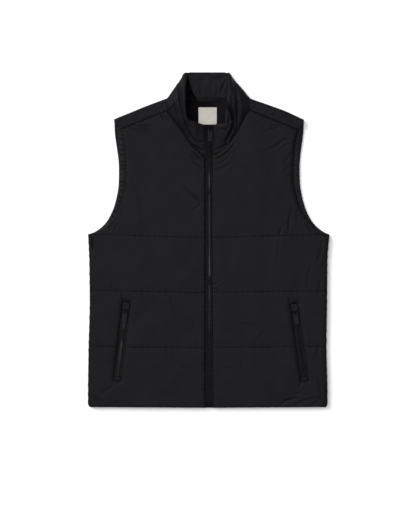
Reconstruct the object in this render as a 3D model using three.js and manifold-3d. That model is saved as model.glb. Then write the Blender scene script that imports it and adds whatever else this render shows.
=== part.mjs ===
// Padded vest with a stand collar, laid front up on a flat surface.
// Millimetres. +X is to the wearer's left, +Y towards the collar, +Z up.
// The origin is on the surface, under the middle of the vest.

import * as THREE from 'three';
import { mergeVertices } from 'three/addons/utils/BufferGeometryUtils.js';
import Module from 'manifold-3d';

const wasm = await Module();
wasm.setup();

const { lerp, clamp, smoothstep, degToRad } = THREE.MathUtils;

// Driving dimensions
const GAP = 0.3;
const HEM_Y = -381;
const HEM_CORNER = 10;
const BACK_THICK = 7;
const FRONT_UNDER = BACK_THICK + GAP;
const FRONT_LOFT = 7.7;
const STITCHED_THICK = 3;
const QUILT_GROOVE = 2.2;
const NECK_HALF = 95;
const FOLD_RADIUS = 7.25;
const BACK_NECK_Y = 323;
const COLLAR_THICK = 5;
const COLLAR_SEAM_THICK = 3.4;
const COLLAR_ROLL = 5;
const TAPE_THICK = 1;
const CHAIN_HALF = 2.8;
const CHAIN_THICK = 3;
const SLIDER_Y = 250;
const SLIDER_HALF = 5.5;
const PULL_LENGTH = 25.4;
const PULL_WIDTH = 9.5;
const PULL_THICK = 1.6;
const PIVOT_RISE = 1.45;
const POCKET_WIDTH = 17.4;
const POCKET_FLOOR = 9.6;
const GARAGE_LENGTH = 19;
const GARAGE_BASE_LENGTH = 10;

// The wearer's two sides and the sign of X on each.
const SIDES = { right: -1, left: 1 };

// Side edge of both panels: half width at each height.
const SIDE_EDGE = [
  { y: -381, right: 275.2, left: 271 },
  { y: -351, right: 275.2, left: 270.6 },
  { y: -242, right: 273.8, left: 267.9 },
  { y: -146, right: 271.3, left: 269 },
  { y: -50, right: 272.2, left: 269.5 },
  { y: 13, right: 275, left: 274.5 },
];

// Front armhole: half width at each height, from the side seam up.
const FRONT_ARMHOLE = [
  { y: 13, right: 275, left: 274.5 },
  { y: 23, right: 247.6, left: 249 },
  { y: 36.7, right: 231.6, left: 233.5 },
  { y: 52.7, right: 218, left: 220.5 },
  { y: 73.2, right: 205.4, left: 208 },
  { y: 96, right: 196.8, left: 199.5 },
  { y: 121, right: 190.8, left: 193.5 },
  { y: 156, right: 188.6, left: 191.3 },
  { y: 192, right: 189.7, left: 192.5 },
  { y: 226, right: 193.1, left: 196 },
  { y: 252, right: 200.2, left: 203 },
];

// Back armhole, which is cut less deep than the front one.
const BACK_ARMHOLE = [
  { y: 13, right: 275, left: 274.5 },
  { y: 18.5, right: 260, left: 261.5 },
  { y: 32, right: 241.5, left: 243.5 },
  { y: 46, right: 230, left: 232 },
  { y: 59.5, right: 222.8, left: 225 },
  { y: 73, right: 217, left: 219 },
  { y: 100.5, right: 209.5, left: 211.5 },
  { y: 128, right: 205.4, left: 207.4 },
  { y: 155, right: 204.8, left: 206.8 },
  { y: 210, right: 206.6, left: 208.6 },
  { y: 237, right: 209.8, left: 212 },
  { y: 268.3, right: 215, left: 217 },
];

// Seam of the collar on each front, from the zip to the shoulder seam.
const FRONT_NECK = {
  right: [
    { x: 8.8, y: 189.5 },
    { x: 24, y: 204 },
    { x: 40.4, y: 219 },
    { x: 60.6, y: 248 },
    { x: 76, y: 269 },
    { x: 89, y: 287 },
    { x: 94.7, y: 294.6 },
  ],
  left: [
    { x: 10.4, y: 190.5 },
    { x: 24, y: 200 },
    { x: 41, y: 213 },
    { x: 63.4, y: 242 },
    { x: 77.7, y: 269 },
    { x: 89, y: 288 },
    { x: 94.7, y: 295.6 },
  ],
};

// Folded edge of the shoulder: its height at each half width.
const SHOULDER = [
  { x: 95, right: 323.5, left: 323 },
  { x: 143, right: 305.6, left: 306.3 },
  { x: 176, right: 292, left: 294 },
  { x: 209, right: 278.6, left: 278.8 },
  { x: 217, right: 275, left: 275 },
];

// Stitched quilting lines: height at the zip and at the side seam.
const QUILT = {
  right: [
    { zip: -246.5, side: -243 },
    { zip: -121, side: -115 },
    { zip: 5, side: 13 },
  ],
  left: [
    { zip: -245.5, side: -243 },
    { zip: -120, side: -116 },
    { zip: 5, side: 13 },
  ],
};

// Front zip: edges of the two fronts, middle of the chain, underside of the tape.
const ZIP = [
  { y: -381, right: -8.4, centre: 1.2, left: 10.2, base: 7.3 },
  { y: -250, right: -8.6, centre: 0.8, left: 9.8, base: 7.3 },
  { y: -120, right: -9, centre: 0.2, left: 8.6, base: 7.3 },
  { y: 0, right: -9, centre: 0, left: 8.3, base: 7.3 },
  { y: 120, right: -8.8, centre: 0, left: 7.9, base: 7.3 },
  { y: 160, right: -8.8, centre: 0.6, left: 9.2, base: 7.3 },
  { y: 190, right: -8.8, centre: 1.4, left: 10.4, base: 8.2 },
  { y: 261, right: -7.4, centre: 3, left: 10.8, base: 14 },
];

// Top edge of the collar's outer face; along runs from the zip (0) to the middle back (1).
const COLLAR_EDGE = {
  right: [
    { along: 0, x: 7.6, y: 261, z: 19 },
    { along: 0.14, x: 24, y: 267, z: 22 },
    { along: 0.27, x: 43, y: 274, z: 26 },
    { along: 0.36, x: 51.5, y: 288, z: 28 },
    { along: 0.45, x: 52.5, y: 318, z: 28 },
    { along: 0.53, x: 53, y: 347, z: 25 },
    { along: 0.585, x: 54, y: 368, z: 19 },
    { along: 0.612, x: 56, y: 380.4, z: 9 },
    { along: 0.64, x: 50, y: 381.4, z: 1.5 },
    { along: 0.66, x: 44, y: 381.5, z: 0 },
    { along: 1, x: 0, y: 381.5, z: 0 },
  ],
  left: [
    { along: 0, x: 10.9, y: 261.5, z: 19 },
    { along: 0.14, x: 22, y: 264.5, z: 22 },
    { along: 0.25, x: 35, y: 266, z: 26 },
    { along: 0.35, x: 36.5, y: 283, z: 28 },
    { along: 0.45, x: 40, y: 315, z: 28 },
    { along: 0.53, x: 43, y: 345, z: 25 },
    { along: 0.585, x: 45, y: 367, z: 19 },
    { along: 0.612, x: 47.5, y: 380.4, z: 9 },
    { along: 0.64, x: 43, y: 381.4, z: 1.5 },
    { along: 0.66, x: 38, y: 381.5, z: 0 },
    { along: 1, x: 0, y: 381.5, z: 0 },
  ],
};

// Slanted pockets: top and bottom end of each middle line.
const POCKETS = {
  right: { topX: -187.2, topY: -140.5, bottomX: -208.5, bottomY: -321 },
  left: { topX: 194.5, topY: -144, bottomX: 219.4, bottomY: -321.8 },
};

// Largest creases of the fronts: ends of each groove, its depth and half width.
const CREASES = [
  { x0: -28, y0: 205, x1: -12, y1: 186, depth: 2, half: 6 },
  { x0: -48, y0: 214, x1: -14, y1: 168, depth: 1.6, half: 6 },
  { x0: 52, y0: 214, x1: 14, y1: 176, depth: 2.2, half: 6 },
  { x0: 68, y0: 226, x1: 18, y1: 152, depth: 1.6, half: 6 },
  { x0: -150, y0: 262, x1: -128, y1: 214, depth: 2, half: 8 },
  { x0: 128, y0: 262, x1: 142, y1: 206, depth: 1.6, half: 8 },
  { x0: -84, y0: -128, x1: -58, y1: -214, depth: 1.8, half: 8 },
  { x0: 262, y0: 4, x1: 246, y1: -56, depth: 2, half: 8 },
  { x0: 234, y0: -52, x1: 226, y1: -112, depth: 1.6, half: 8 },
  { x0: 178, y0: -352, x1: 262, y1: -380, depth: 2, half: 7 },
  { x0: -262, y0: -346, x1: -228, y1: -380, depth: 1.8, half: 7 },
  { x0: -176, y0: 44, x1: -214, y1: 22, depth: 1.8, half: 7 },
  { x0: 176, y0: 52, x1: 220, y1: 24, depth: 1.6, half: 7 },
];

// Value of a table's column between its rows, without overshoot.
function readTable(rows, key, column, at) {
  const last = rows.length - 1;
  let i = 0;
  while (i < last - 1 && rows[i + 1][key] < at) {
    i += 1;
  }
  const secant = (k) => (rows[k + 1][column] - rows[k][column]) / (rows[k + 1][key] - rows[k][key]);
  const slope = (k) => {
    const before = secant(Math.max(k - 1, 0));
    const after = secant(Math.min(k, last - 1));
    return before * after > 0 ? (2 * before * after) / (before + after) : 0;
  };
  const width = rows[i + 1][key] - rows[i][key];
  const t = clamp((at - rows[i][key]) / width, 0, 1);
  const ease = t * t * (3 - 2 * t);
  const startPull = t * (1 - t) * (1 - t) * width * slope(i);
  const endPull = t * t * (t - 1) * width * slope(i + 1);
  return lerp(rows[i][column], rows[i + 1][column], ease) + startPull + endPull;
}

// How far a padded surface has risen at a distance from its stitched edge.
function rise(distance, width) {
  const left = 1 - clamp(distance / width, 0, 1);
  return Math.sqrt(1 - left * left);
}

// Depth of the fronts' creases at a point.
function creaseDepth(x, y) {
  let depth = 0;
  for (const crease of CREASES) {
    const dx = crease.x1 - crease.x0;
    const dy = crease.y1 - crease.y0;
    const length = Math.hypot(dx, dy);
    const along = ((x - crease.x0) * dx + (y - crease.y0) * dy) / (length * length);
    const across = Math.abs((x - crease.x0) * dy - (y - crease.y0) * dx) / length;
    const fade = Math.sin(Math.PI * clamp(along, 0, 1));
    depth += crease.depth * fade * Math.exp(-((across / crease.half) ** 2));
  }
  return depth;
}

// Geometry from a list of points and triangles, turned to face outwards.
function closedGeometry(points, triangles) {
  let volume = 0;
  for (const [a, b, c] of triangles) {
    volume += points[a].dot(points[b].clone().cross(points[c]));
  }
  const geometry = new THREE.BufferGeometry();
  geometry.setAttribute('position', new THREE.Float32BufferAttribute(points.flatMap((p) => p.toArray()), 3));
  geometry.setIndex(triangles.flatMap(([a, b, c]) => (volume > 0 ? [a, b, c] : [a, c, b])));
  return mergeVertices(geometry.toNonIndexed(), 1e-4);
}

// Wall between two matching grids of points; keep(row, column) says which cells it has.
function wallBetween(outer, inner, keep = () => true) {
  const rows = outer.length;
  const columns = outer[0].length;
  const points = [...outer.flat(), ...inner.flat()];
  const triangles = [];
  const at = (layer, row, column) => (layer * rows + row) * columns + column;
  const has = (row, column) =>
    row >= 0 && column >= 0 && row < rows - 1 && column < columns - 1 && keep(row, column);
  const quad = (a, b, c, d) => triangles.push([a, b, c], [a, c, d]);
  for (let row = 0; row < rows - 1; row += 1) {
    for (let column = 0; column < columns - 1; column += 1) {
      if (!has(row, column)) {
        continue;
      }
      const corners = [[row, column], [row, column + 1], [row + 1, column + 1], [row + 1, column]];
      const beside = [[row - 1, column], [row, column + 1], [row + 1, column], [row, column - 1]];
      quad(...corners.map(([r, c]) => at(0, r, c)));
      quad(...corners.map(([r, c]) => at(1, r, c)).reverse());
      beside.forEach(([r, c], edge) => {
        if (!has(r, c)) {
          const from = corners[edge];
          const to = corners[(edge + 1) % 4];
          quad(at(0, ...to), at(0, ...from), at(1, ...from), at(1, ...to));
        }
      });
    }
  }
  return closedGeometry(points, triangles);
}

// Padded panel over a flat underside: the underside spans each row of the top's grid.
function panelOver(top, underZ) {
  const rows = top.length;
  const columns = top[0].length;
  const points = [...top.flat(), ...top.flat().map((p) => new THREE.Vector3(p.x, p.y, underZ))];
  const triangles = [];
  const at = (layer, row, column) => (layer * rows + row) * columns + column;
  const quad = (a, b, c, d) => triangles.push([a, b, c], [a, c, d]);
  const rim = [];
  for (let row = 0; row < rows - 1; row += 1) {
    for (let column = 0; column < columns - 1; column += 1) {
      quad(at(0, row, column), at(0, row, column + 1), at(0, row + 1, column + 1), at(0, row + 1, column));
    }
  }
  for (let column = 0; column < columns; column += 1) {
    rim.push([0, column]);
  }
  for (let row = 1; row < rows; row += 1) {
    rim.push([row, columns - 1]);
  }
  for (let column = columns - 2; column >= 0; column -= 1) {
    rim.push([rows - 1, column]);
  }
  for (let row = rows - 2; row > 0; row -= 1) {
    rim.push([row, 0]);
  }
  rim.forEach((from, i) => {
    const to = rim[(i + 1) % rim.length];
    quad(at(0, ...to), at(0, ...from), at(1, ...from), at(1, ...to));
  });
  for (let column = 0; column < columns - 1; column += 1) {
    triangles.push([at(1, 1, 0), at(1, 0, column + 1), at(1, 0, column)]);
    triangles.push([at(1, rows - 2, 0), at(1, rows - 1, column), at(1, rows - 1, column + 1)]);
  }
  triangles.push([at(1, 1, 0), at(1, 1, columns - 1), at(1, 0, columns - 1)]);
  triangles.push([at(1, rows - 2, 0), at(1, rows - 1, columns - 1), at(1, rows - 2, columns - 1)]);
  for (let row = 1; row < rows - 2; row += 1) {
    quad(at(1, row + 1, 0), at(1, row + 1, columns - 1), at(1, row, columns - 1), at(1, row, 0));
  }
  return closedGeometry(points, triangles);
}

// Bar through matching convex sections, closed at both ends.
function barThrough(sections) {
  const count = sections[0].length;
  const points = sections.flat();
  const triangles = [];
  for (let i = 0; i < sections.length - 1; i += 1) {
    for (let j = 0; j < count; j += 1) {
      const a = i * count + j;
      const b = i * count + ((j + 1) % count);
      triangles.push([a, b, b + count], [a, b + count, a + count]);
    }
  }
  const end = (sections.length - 1) * count;
  for (let j = 1; j < count - 1; j += 1) {
    triangles.push([0, j + 1, j], [end, end + j, end + j + 1]);
  }
  return closedGeometry(points, triangles);
}

// Conversion to a solid for cutting and joining, and back to a geometry.
function toSolid(geometry) {
  const plain = geometry.index ? geometry.toNonIndexed() : geometry.clone();
  plain.deleteAttribute('normal');
  plain.deleteAttribute('uv');
  const merged = mergeVertices(plain, 1e-4);
  const vertProperties = new Float32Array(merged.attributes.position.array);
  const triVerts = new Uint32Array(merged.index.array);
  return new wasm.Manifold(new wasm.Mesh({ numProp: 3, vertProperties, triVerts }));
}

function toGeometry(solid) {
  const mesh = solid.getMesh();
  const geometry = new THREE.BufferGeometry();
  geometry.setAttribute('position', new THREE.Float32BufferAttribute(mesh.vertProperties, 3));
  geometry.setIndex(new THREE.Uint32BufferAttribute(mesh.triVerts, 1));
  return geometry;
}

function box(x0, x1, y0, y1, z0, z1) {
  const geometry = new THREE.BoxGeometry(x1 - x0, y1 - y0, z1 - z0);
  return geometry.translate((x0 + x1) / 2, (y0 + y1) / 2, (z0 + z1) / 2);
}

// Rectangle with rounded corners, as a shape.
function roundedRectangle(x0, x1, y0, y1, radius) {
  const shape = new THREE.Shape();
  shape.absarc(x1 - radius, y1 - radius, radius, 0, Math.PI / 2);
  shape.absarc(x0 + radius, y1 - radius, radius, Math.PI / 2, Math.PI);
  shape.absarc(x0 + radius, y0 + radius, radius, Math.PI, 1.5 * Math.PI);
  shape.absarc(x1 - radius, y0 + radius, radius, 1.5 * Math.PI, 2 * Math.PI);
  return shape;
}

function prism(shape, z0, z1, curveSegments = 3) {
  const geometry = new THREE.ExtrudeGeometry(shape, { depth: z1 - z0, bevelEnabled: false, curveSegments });
  return geometry.translate(0, 0, z0);
}

// Positions from 0 to 1, closer together at both ends.
function easedSteps(count) {
  return Array.from({ length: count + 1 }, (_, i) => (1 - Math.cos((Math.PI * i) / count)) / 2);
}

// Half width of the body at a height, with the hem's rounded corner.
function sideEdge(side, y) {
  const toCorner = clamp(HEM_CORNER - (y - HEM_Y), 0, HEM_CORNER);
  const cut = HEM_CORNER - Math.sqrt(HEM_CORNER ** 2 - toCorner ** 2);
  return readTable(SIDE_EDGE, 'y', side, y) - 0.9 * cut;
}

// Edges of each front between the zip and neck on one hand, the side and armhole on the other.
const NECK_STEPS = 9;
const ARMHOLE_SPLIT = 0.62;

function frontEdges(side) {
  const lines = [{ zip: HEM_Y, side: HEM_Y + 2.5 }, ...QUILT[side]];
  const edges = [];
  for (let chamber = 0; chamber < lines.length - 1; chamber += 1) {
    const steps = easedSteps(9);
    for (const t of chamber === 0 ? steps : steps.slice(1)) {
      const innerY = lerp(lines[chamber].zip, lines[chamber + 1].zip, t);
      const outerY = lerp(lines[chamber].side, lines[chamber + 1].side, t);
      edges.push({
        inner: new THREE.Vector2(Math.abs(readTable(ZIP, 'y', side, innerY)), innerY),
        outer: new THREE.Vector2(sideEdge(side, outerY), outerY),
      });
    }
  }
  const armhole = planCurve(FRONT_ARMHOLE, side);
  const neck = planCurve(FRONT_NECK[side], 'x');
  const neckStart = FRONT_NECK[side][0];
  const quiltTop = lines[lines.length - 1].zip;
  for (let i = 1; i <= 12; i += 1) {
    const innerY = lerp(quiltTop, neckStart.y, i / 12);
    edges.push({
      inner: new THREE.Vector2(Math.abs(readTable(ZIP, 'y', side, innerY)), innerY),
      outer: armhole.getPointAt((ARMHOLE_SPLIT * i) / 12),
    });
  }
  edges[edges.length - 1].inner.set(neckStart.x, neckStart.y);
  for (let i = 1; i <= NECK_STEPS; i += 1) {
    edges.push({
      inner: neck.getPointAt(i / NECK_STEPS),
      outer: armhole.getPointAt(lerp(ARMHOLE_SPLIT, 1, i / NECK_STEPS)),
    });
  }
  return edges;
}

const FRONT_COLUMNS = [0, 0.012, 0.03, 0.06, 0.11, 0.17, 0.24, 0.31, 0.38, 0.45, 0.52, 0.59,
  0.66, 0.73, 0.8, 0.86, 0.91, 0.95, 0.975, 0.99, 1];

// Height of a front's padded face above its underside.
function frontLoft(side, point, fromInner, fromOuter, across, fromShoulder) {
  const quilts = QUILT[side].map((line) => Math.abs(point.y - lerp(line.zip, line.side, across)));
  const swell = rise(fromInner, 13)
    * rise(fromOuter, 15)
    * rise(point.y - HEM_Y, 12)
    * rise(fromShoulder, 11)
    * rise(Math.min(...quilts), 26);
  return STITCHED_THICK + (FRONT_LOFT - STITCHED_THICK) * swell;
}

function frontGrid(side) {
  const sign = SIDES[side];
  const edges = frontEdges(side);
  const shoulder = edges[edges.length - 1];
  const seam = shoulder.outer.clone().sub(shoulder.inner).normalize();
  return edges.map(({ inner, outer }) => {
    const width = outer.distanceTo(inner);
    return FRONT_COLUMNS.map((across) => {
      const point = inner.clone().lerp(outer, across);
      const toSeam = shoulder.inner.clone().sub(point);
      const fromShoulder = Math.abs(toSeam.x * seam.y - toSeam.y * seam.x);
      const loft = frontLoft(side, point, across * width, (1 - across) * width, across, fromShoulder);
      const crease = creaseDepth(sign * point.x, point.y) * smoothstep(loft, 4, 6.5);
      return new THREE.Vector3(sign * point.x, point.y, FRONT_UNDER + loft - crease);
    });
  });
}

// Frame of a pocket: its origin is the top end, and -Y runs down its middle line.
function pocketFrame(side) {
  const { topX, topY, bottomX, bottomY } = POCKETS[side];
  const length = Math.hypot(bottomX - topX, bottomY - topY);
  const turn = Math.asin((bottomX - topX) / length);
  const matrix = new THREE.Matrix4().makeRotationZ(turn).setPosition(topX, topY, 0);
  return { length, turn, matrix };
}

function frontGeometry(side) {
  const { length, matrix } = pocketFrame(side);
  const half = POCKET_WIDTH / 2;
  const slot = prism(roundedRectangle(-half, half, -length, 0, 2), POCKET_FLOOR, 40);
  return toGeometry(toSolid(panelOver(frontGrid(side), FRONT_UNDER)).subtract(toSolid(slot.applyMatrix4(matrix))));
}

// Back panel. across runs from -1 at the right side to 1 at the left one.
// Above the topmost quilting line, up runs from 0 there to 1 at the neck or the shoulder fold.
const BACK_COLUMNS = [0, 0.11, 0.22, 0.34, NECK_HALF / 216, 0.58, 0.72, 0.85, 0.93, 0.975, 1];
const BACK_SPREAD = [...BACK_COLUMNS.slice(1).reverse().map((c) => -c), ...BACK_COLUMNS];
const NECK_COLUMN = BACK_COLUMNS[4];
const ARM_TOP_Y = BACK_ARMHOLE[BACK_ARMHOLE.length - 1].y;
const QUILT_TOP_Y = 13;

function foldPoint(side, along) {
  const x = lerp(NECK_HALF, BACK_ARMHOLE[BACK_ARMHOLE.length - 1][side], along);
  return new THREE.Vector2(x, readTable(SHOULDER, 'x', side, x) - FOLD_RADIUS);
}

function backNeckY(x) {
  return BACK_NECK_Y - 6.9 * smoothstep(Math.abs(x), 76, NECK_HALF);
}

// Inner face of the back panel: lower beside the armholes, the neck and the shoulders.
function backInnerZ(fromArmhole, fromTop) {
  const atArmhole = 3 * (1 - smoothstep(fromArmhole, 24, 46));
  const atTop = 2 * (1 - smoothstep(fromTop, 0, 14));
  return BACK_THICK - Math.max(atArmhole, atTop);
}

function planCurve(rows, column) {
  return new THREE.SplineCurve(rows.map((row) => new THREE.Vector2(row[column], row.y)));
}

const armholeSamples = {
  right: planCurve(BACK_ARMHOLE, 'right').getSpacedPoints(80),
  left: planCurve(BACK_ARMHOLE, 'left').getSpacedPoints(80),
};

function distanceToArmhole(side, x, y) {
  const point = new THREE.Vector2(x, y);
  return Math.min(...armholeSamples[side].map((sample) => sample.distanceTo(point)));
}

function upperBackPoint(across, up) {
  const side = across < 0 ? 'right' : 'left';
  const spread = Math.abs(across);
  const halfWidth = readTable(BACK_ARMHOLE, 'y', side, lerp(QUILT_TOP_Y, ARM_TOP_Y, up));
  const bottomY = lerp(QUILT[side][2].zip, QUILT_TOP_Y, spread);
  let top = new THREE.Vector2(0, 0);
  if (spread < NECK_COLUMN) {
    top.set(spread * (NECK_HALF / NECK_COLUMN), 0);
    top.y = backNeckY(top.x);
  } else {
    top = foldPoint(side, (spread - NECK_COLUMN) / (1 - NECK_COLUMN));
  }
  const x = lerp(spread * halfWidth, top.x, smoothstep(up, 0.6, 1));
  const y = lerp(bottomY, top.y, up);
  const innerZ = backInnerZ(distanceToArmhole(side, x, y), top.y - y);
  return { x: SIDES[side] * x, y, innerZ, fromSide: halfWidth * (1 - spread), fromQuilt: y - bottomY };
}

function lowerBackPoint(across, chamber, up) {
  const side = across < 0 ? 'right' : 'left';
  const spread = Math.abs(across);
  const lines = [{ zip: HEM_Y, side: HEM_Y + 2.5 }, ...QUILT[side]];
  const bottomY = lerp(lines[chamber].zip, lines[chamber].side, spread);
  const topY = lerp(lines[chamber + 1].zip, lines[chamber + 1].side, spread);
  const y = lerp(bottomY, topY, up);
  const halfWidth = sideEdge(side, y);
  const fromQuilt = chamber === 0 ? topY - y : Math.min(topY - y, y - bottomY);
  const innerZ = BACK_THICK - 1.5 * (1 - rise(y - HEM_Y, 10));
  return { x: SIDES[side] * spread * halfWidth, y, innerZ, fromSide: halfWidth * (1 - spread), fromQuilt };
}

function backGrids() {
  const outer = [];
  const inner = [];
  const addRow = (row) => {
    outer.push(row.map((p) => {
      const groove = QUILT_GROOVE * (1 - rise(p.fromQuilt, 14));
      const edge = 2 * (1 - rise(p.fromSide, 8));
      return new THREE.Vector3(p.x, p.y, Math.max(groove, edge));
    }));
    inner.push(row.map((p) => new THREE.Vector3(p.x, p.y, p.innerZ)));
  };
  for (let chamber = 0; chamber < 3; chamber += 1) {
    const steps = [0, 0.03, 0.08, 0.2, 0.5, 0.8, 0.92, 0.97];
    for (const up of steps) {
      addRow(BACK_SPREAD.map((across) => lowerBackPoint(across, chamber, up)));
    }
  }
  const upperSteps = [0, 0.02, 0.045, 0.08, 0.13, 0.18, 0.24, 0.34, 0.45, 0.56, 0.7, 0.82, 0.92, 0.97, 1];
  for (const up of upperSteps) {
    addRow(BACK_SPREAD.map((across) => upperBackPoint(across, up)));
  }
  const flatRows = outer.length;
  addShoulderRows(outer, inner, flatRows - 1);
  return { outer, inner, flatRows };
}

// The back panel turned over the shoulder and brought forward to its seam on the front.
const FOLD_ANGLES = [30, 60, 90, 120, 150, 180];
const FORWARD_STEPS = [0.35, 0.65, 0.88, 1];

function addShoulderRows(outer, inner, topRow) {
  const seams = {};
  for (const side of Object.keys(SIDES)) {
    const edges = frontEdges(side);
    seams[side] = edges[edges.length - 1];
  }
  const columns = BACK_SPREAD.map((across, column) => {
    const side = across < 0 ? 'right' : 'left';
    const along = Math.max(0, (Math.abs(across) - NECK_COLUMN) / (1 - NECK_COLUMN));
    const seam = seams[side].inner.clone().lerp(seams[side].outer, along);
    const base = outer[topRow][column];
    const toFold = new THREE.Vector2(SIDES[side] * base.x, base.y).sub(seam).normalize();
    seam.addScaledVector(toFold, GAP);
    return { base, seam, sign: SIDES[side], thick: inner[topRow][column].z };
  });
  for (const angle of FOLD_ANGLES) {
    const lift = Math.cos(degToRad(angle));
    const reach = Math.sin(degToRad(angle));
    outer.push(columns.map(({ base }) =>
      new THREE.Vector3(base.x, base.y + FOLD_RADIUS * reach, FOLD_RADIUS - FOLD_RADIUS * lift)));
    inner.push(columns.map(({ base, thick }) => {
      const radius = FOLD_RADIUS - thick;
      return new THREE.Vector3(base.x, base.y + radius * reach, FOLD_RADIUS - radius * lift);
    }));
  }
  const topZ = 2 * FOLD_RADIUS;
  for (const step of FORWARD_STEPS) {
    const pinch = 1 - rise((1 - step) * 22, 12);
    const place = ({ base, seam, sign }, z) =>
      new THREE.Vector3(lerp(base.x, sign * seam.x, step), lerp(base.y, seam.y, step), z);
    outer.push(columns.map((column) => place(column, topZ - 3.5 * pinch)));
    inner.push(columns.map((column) => place(column, lerp(topZ - column.thick, 7.9, step))));
  }
}

function isShoulderColumn(column) {
  const middle = (BACK_SPREAD[column] + BACK_SPREAD[column + 1]) / 2;
  return Math.abs(middle) > NECK_COLUMN;
}

const back = backGrids();

function backGeometry() {
  return wallBetween(back.outer, back.inner, (row, column) => row < back.flatRows - 1 || isShoulderColumn(column));
}

// Ring of the neck seam, from the right front's zip edge round the back to the left one's.
function neckRing() {
  const ring = [];
  const frontPart = (side) => {
    const neck = planCurve(FRONT_NECK[side], 'x');
    return Array.from({ length: NECK_STEPS + 1 }, (_, i) => {
      const p = neck.getPointAt(i / NECK_STEPS);
      return new THREE.Vector3(SIDES[side] * p.x, p.y, FRONT_UNDER + 3.9 + 0.4 * (i / NECK_STEPS));
    });
  };
  const shoulderPart = (side) => {
    const column = BACK_SPREAD.findIndex((across) => Math.abs(across - SIDES[side] * NECK_COLUMN) < 1e-9);
    const rows = back.outer.slice(back.flatRows - 1).reverse();
    return rows.slice(1).map((row) => row[column].clone());
  };
  const first = BACK_SPREAD.findIndex((across) => Math.abs(across + NECK_COLUMN) < 1e-9);
  const last = BACK_SPREAD.length - 1 - first;
  const top = back.outer[back.flatRows - 1].slice(first + 1, last).map((p) => p.clone());
  ring.push(...frontPart('right'), ...shoulderPart('right'), ...top);
  ring.push(...shoulderPart('left').reverse(), ...frontPart('left').reverse());
  return ring;
}

// How far round each half of the ring its points are, from the zip (0) to the middle back (1).
function ringShares(ring) {
  const lengths = [0];
  for (let i = 1; i < ring.length; i += 1) {
    lengths.push(lengths[i - 1] + ring[i].distanceTo(ring[i - 1]));
  }
  const middle = ring.findIndex((p) => Math.abs(p.x) < 1e-6);
  const whole = lengths[lengths.length - 1];
  return ring.map((_, i) => (i <= middle
    ? { side: 'right', along: lengths[i] / lengths[middle] }
    : { side: 'left', along: (whole - lengths[i]) / (whole - lengths[middle]) }));
}

const COLLAR_RISE = [0, 0.03, 0.1, 0.25, 0.42, 0.6, 0.78, 0.9, 0.97, 1];

function collarGeometry() {
  const ring = neckRing();
  const face = ringShares(ring).map(({ side, along }, i) => {
    const edge = new THREE.Vector3(
      SIDES[side] * readTable(COLLAR_EDGE[side], 'along', 'x', along),
      readTable(COLLAR_EDGE[side], 'along', 'y', along),
      readTable(COLLAR_EDGE[side], 'along', 'z', along),
    );
    const roll = COLLAR_ROLL * (1 - smoothstep(along, 0.5, 0.6)) * smoothstep(along, 0, 0.15);
    const start = (2 * GAP) / ring[i].distanceTo(edge);
    return COLLAR_RISE.map((share) => {
      const up = lerp(start, 1, share);
      const point = ring[i].clone().lerp(edge, up);
      point.z += roll * Math.sin(Math.PI * up);
      return point;
    });
  });
  const outer = [];
  const inner = [];
  face.forEach((line, i) => {
    const before = face[Math.max(i - 1, 0)];
    const after = face[Math.min(i + 1, face.length - 1)];
    outer.push([]);
    inner.push([]);
    line.forEach((point, j) => {
      const around = after[j].clone().sub(before[j]);
      const up = line[Math.min(j + 1, line.length - 1)].clone().sub(line[Math.max(j - 1, 0)]);
      const inward = around.cross(up).normalize();
      const share = COLLAR_RISE[j];
      const full = lerp(COLLAR_SEAM_THICK, COLLAR_THICK, rise(share, 0.2));
      const edgeRound = 1.7 * (1 - rise(1 - share, 0.08));
      outer[i].push(point.clone().addScaledVector(inward, edgeRound));
      inner[i].push(point.clone().addScaledVector(inward, full - edgeRound));
    });
  });
  return wallBetween(outer, inner);
}

// Gathered facing strip on the back panel's armhole edge.
const FACING_ACROSS = [1, 6, 12, 20];

function facingGeometry(side) {
  const sign = SIDES[side];
  const puckers = 20;
  const steps = puckers * 3;
  const lower = [];
  const upper = [];
  for (let i = 0; i <= steps; i += 1) {
    const share = i / steps;
    const y = lerp(31, 255, share ** 1.15);
    const halfWidth = readTable(BACK_ARMHOLE, 'y', side, y);
    const slope = (readTable(BACK_ARMHOLE, 'y', side, y + 1) - readTable(BACK_ARMHOLE, 'y', side, y - 1)) / 2;
    const inward = new THREE.Vector2(-1, slope).normalize();
    const pucker = Math.sin((2 * Math.PI * puckers * i) / steps) * Math.sin(Math.PI * clamp(share * 1.1, 0, 1));
    lower.push([]);
    upper.push([]);
    FACING_ACROSS.forEach((distance) => {
      const x = halfWidth + inward.x * distance;
      const height = y + inward.y * distance;
      const z = backInnerZ(0, 40) + 1.5 * GAP;
      const wave = 0.6 * (1 + pucker) * (1 - smoothstep(distance, 10, 20));
      lower[i].push(new THREE.Vector3(sign * x, height, z));
      upper[i].push(new THREE.Vector3(sign * x, height, z + 1.1 + wave));
    });
  }
  return wallBetween(lower, upper);
}

// Sheet lying on the back panel inside the neck, such as the lining or the label.
function neckSheet({ x0, x1, y0, y1, raise, thick, columns = 6, rows = 8 }) {
  const lower = [];
  const upper = [];
  for (let i = 0; i <= rows; i += 1) {
    const y = lerp(y0, y1, i / rows);
    lower.push([]);
    upper.push([]);
    for (let j = 0; j <= columns; j += 1) {
      const x = lerp(x0, x1, j / columns);
      const z = backInnerZ(100, BACK_NECK_Y - y) + raise;
      lower[i].push(new THREE.Vector3(x, y, z));
      upper[i].push(new THREE.Vector3(x, y, z + thick));
    }
  }
  return wallBetween(lower, upper);
}

const LINING_THICK = 1;
const LABEL_THICK = 0.8;

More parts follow.
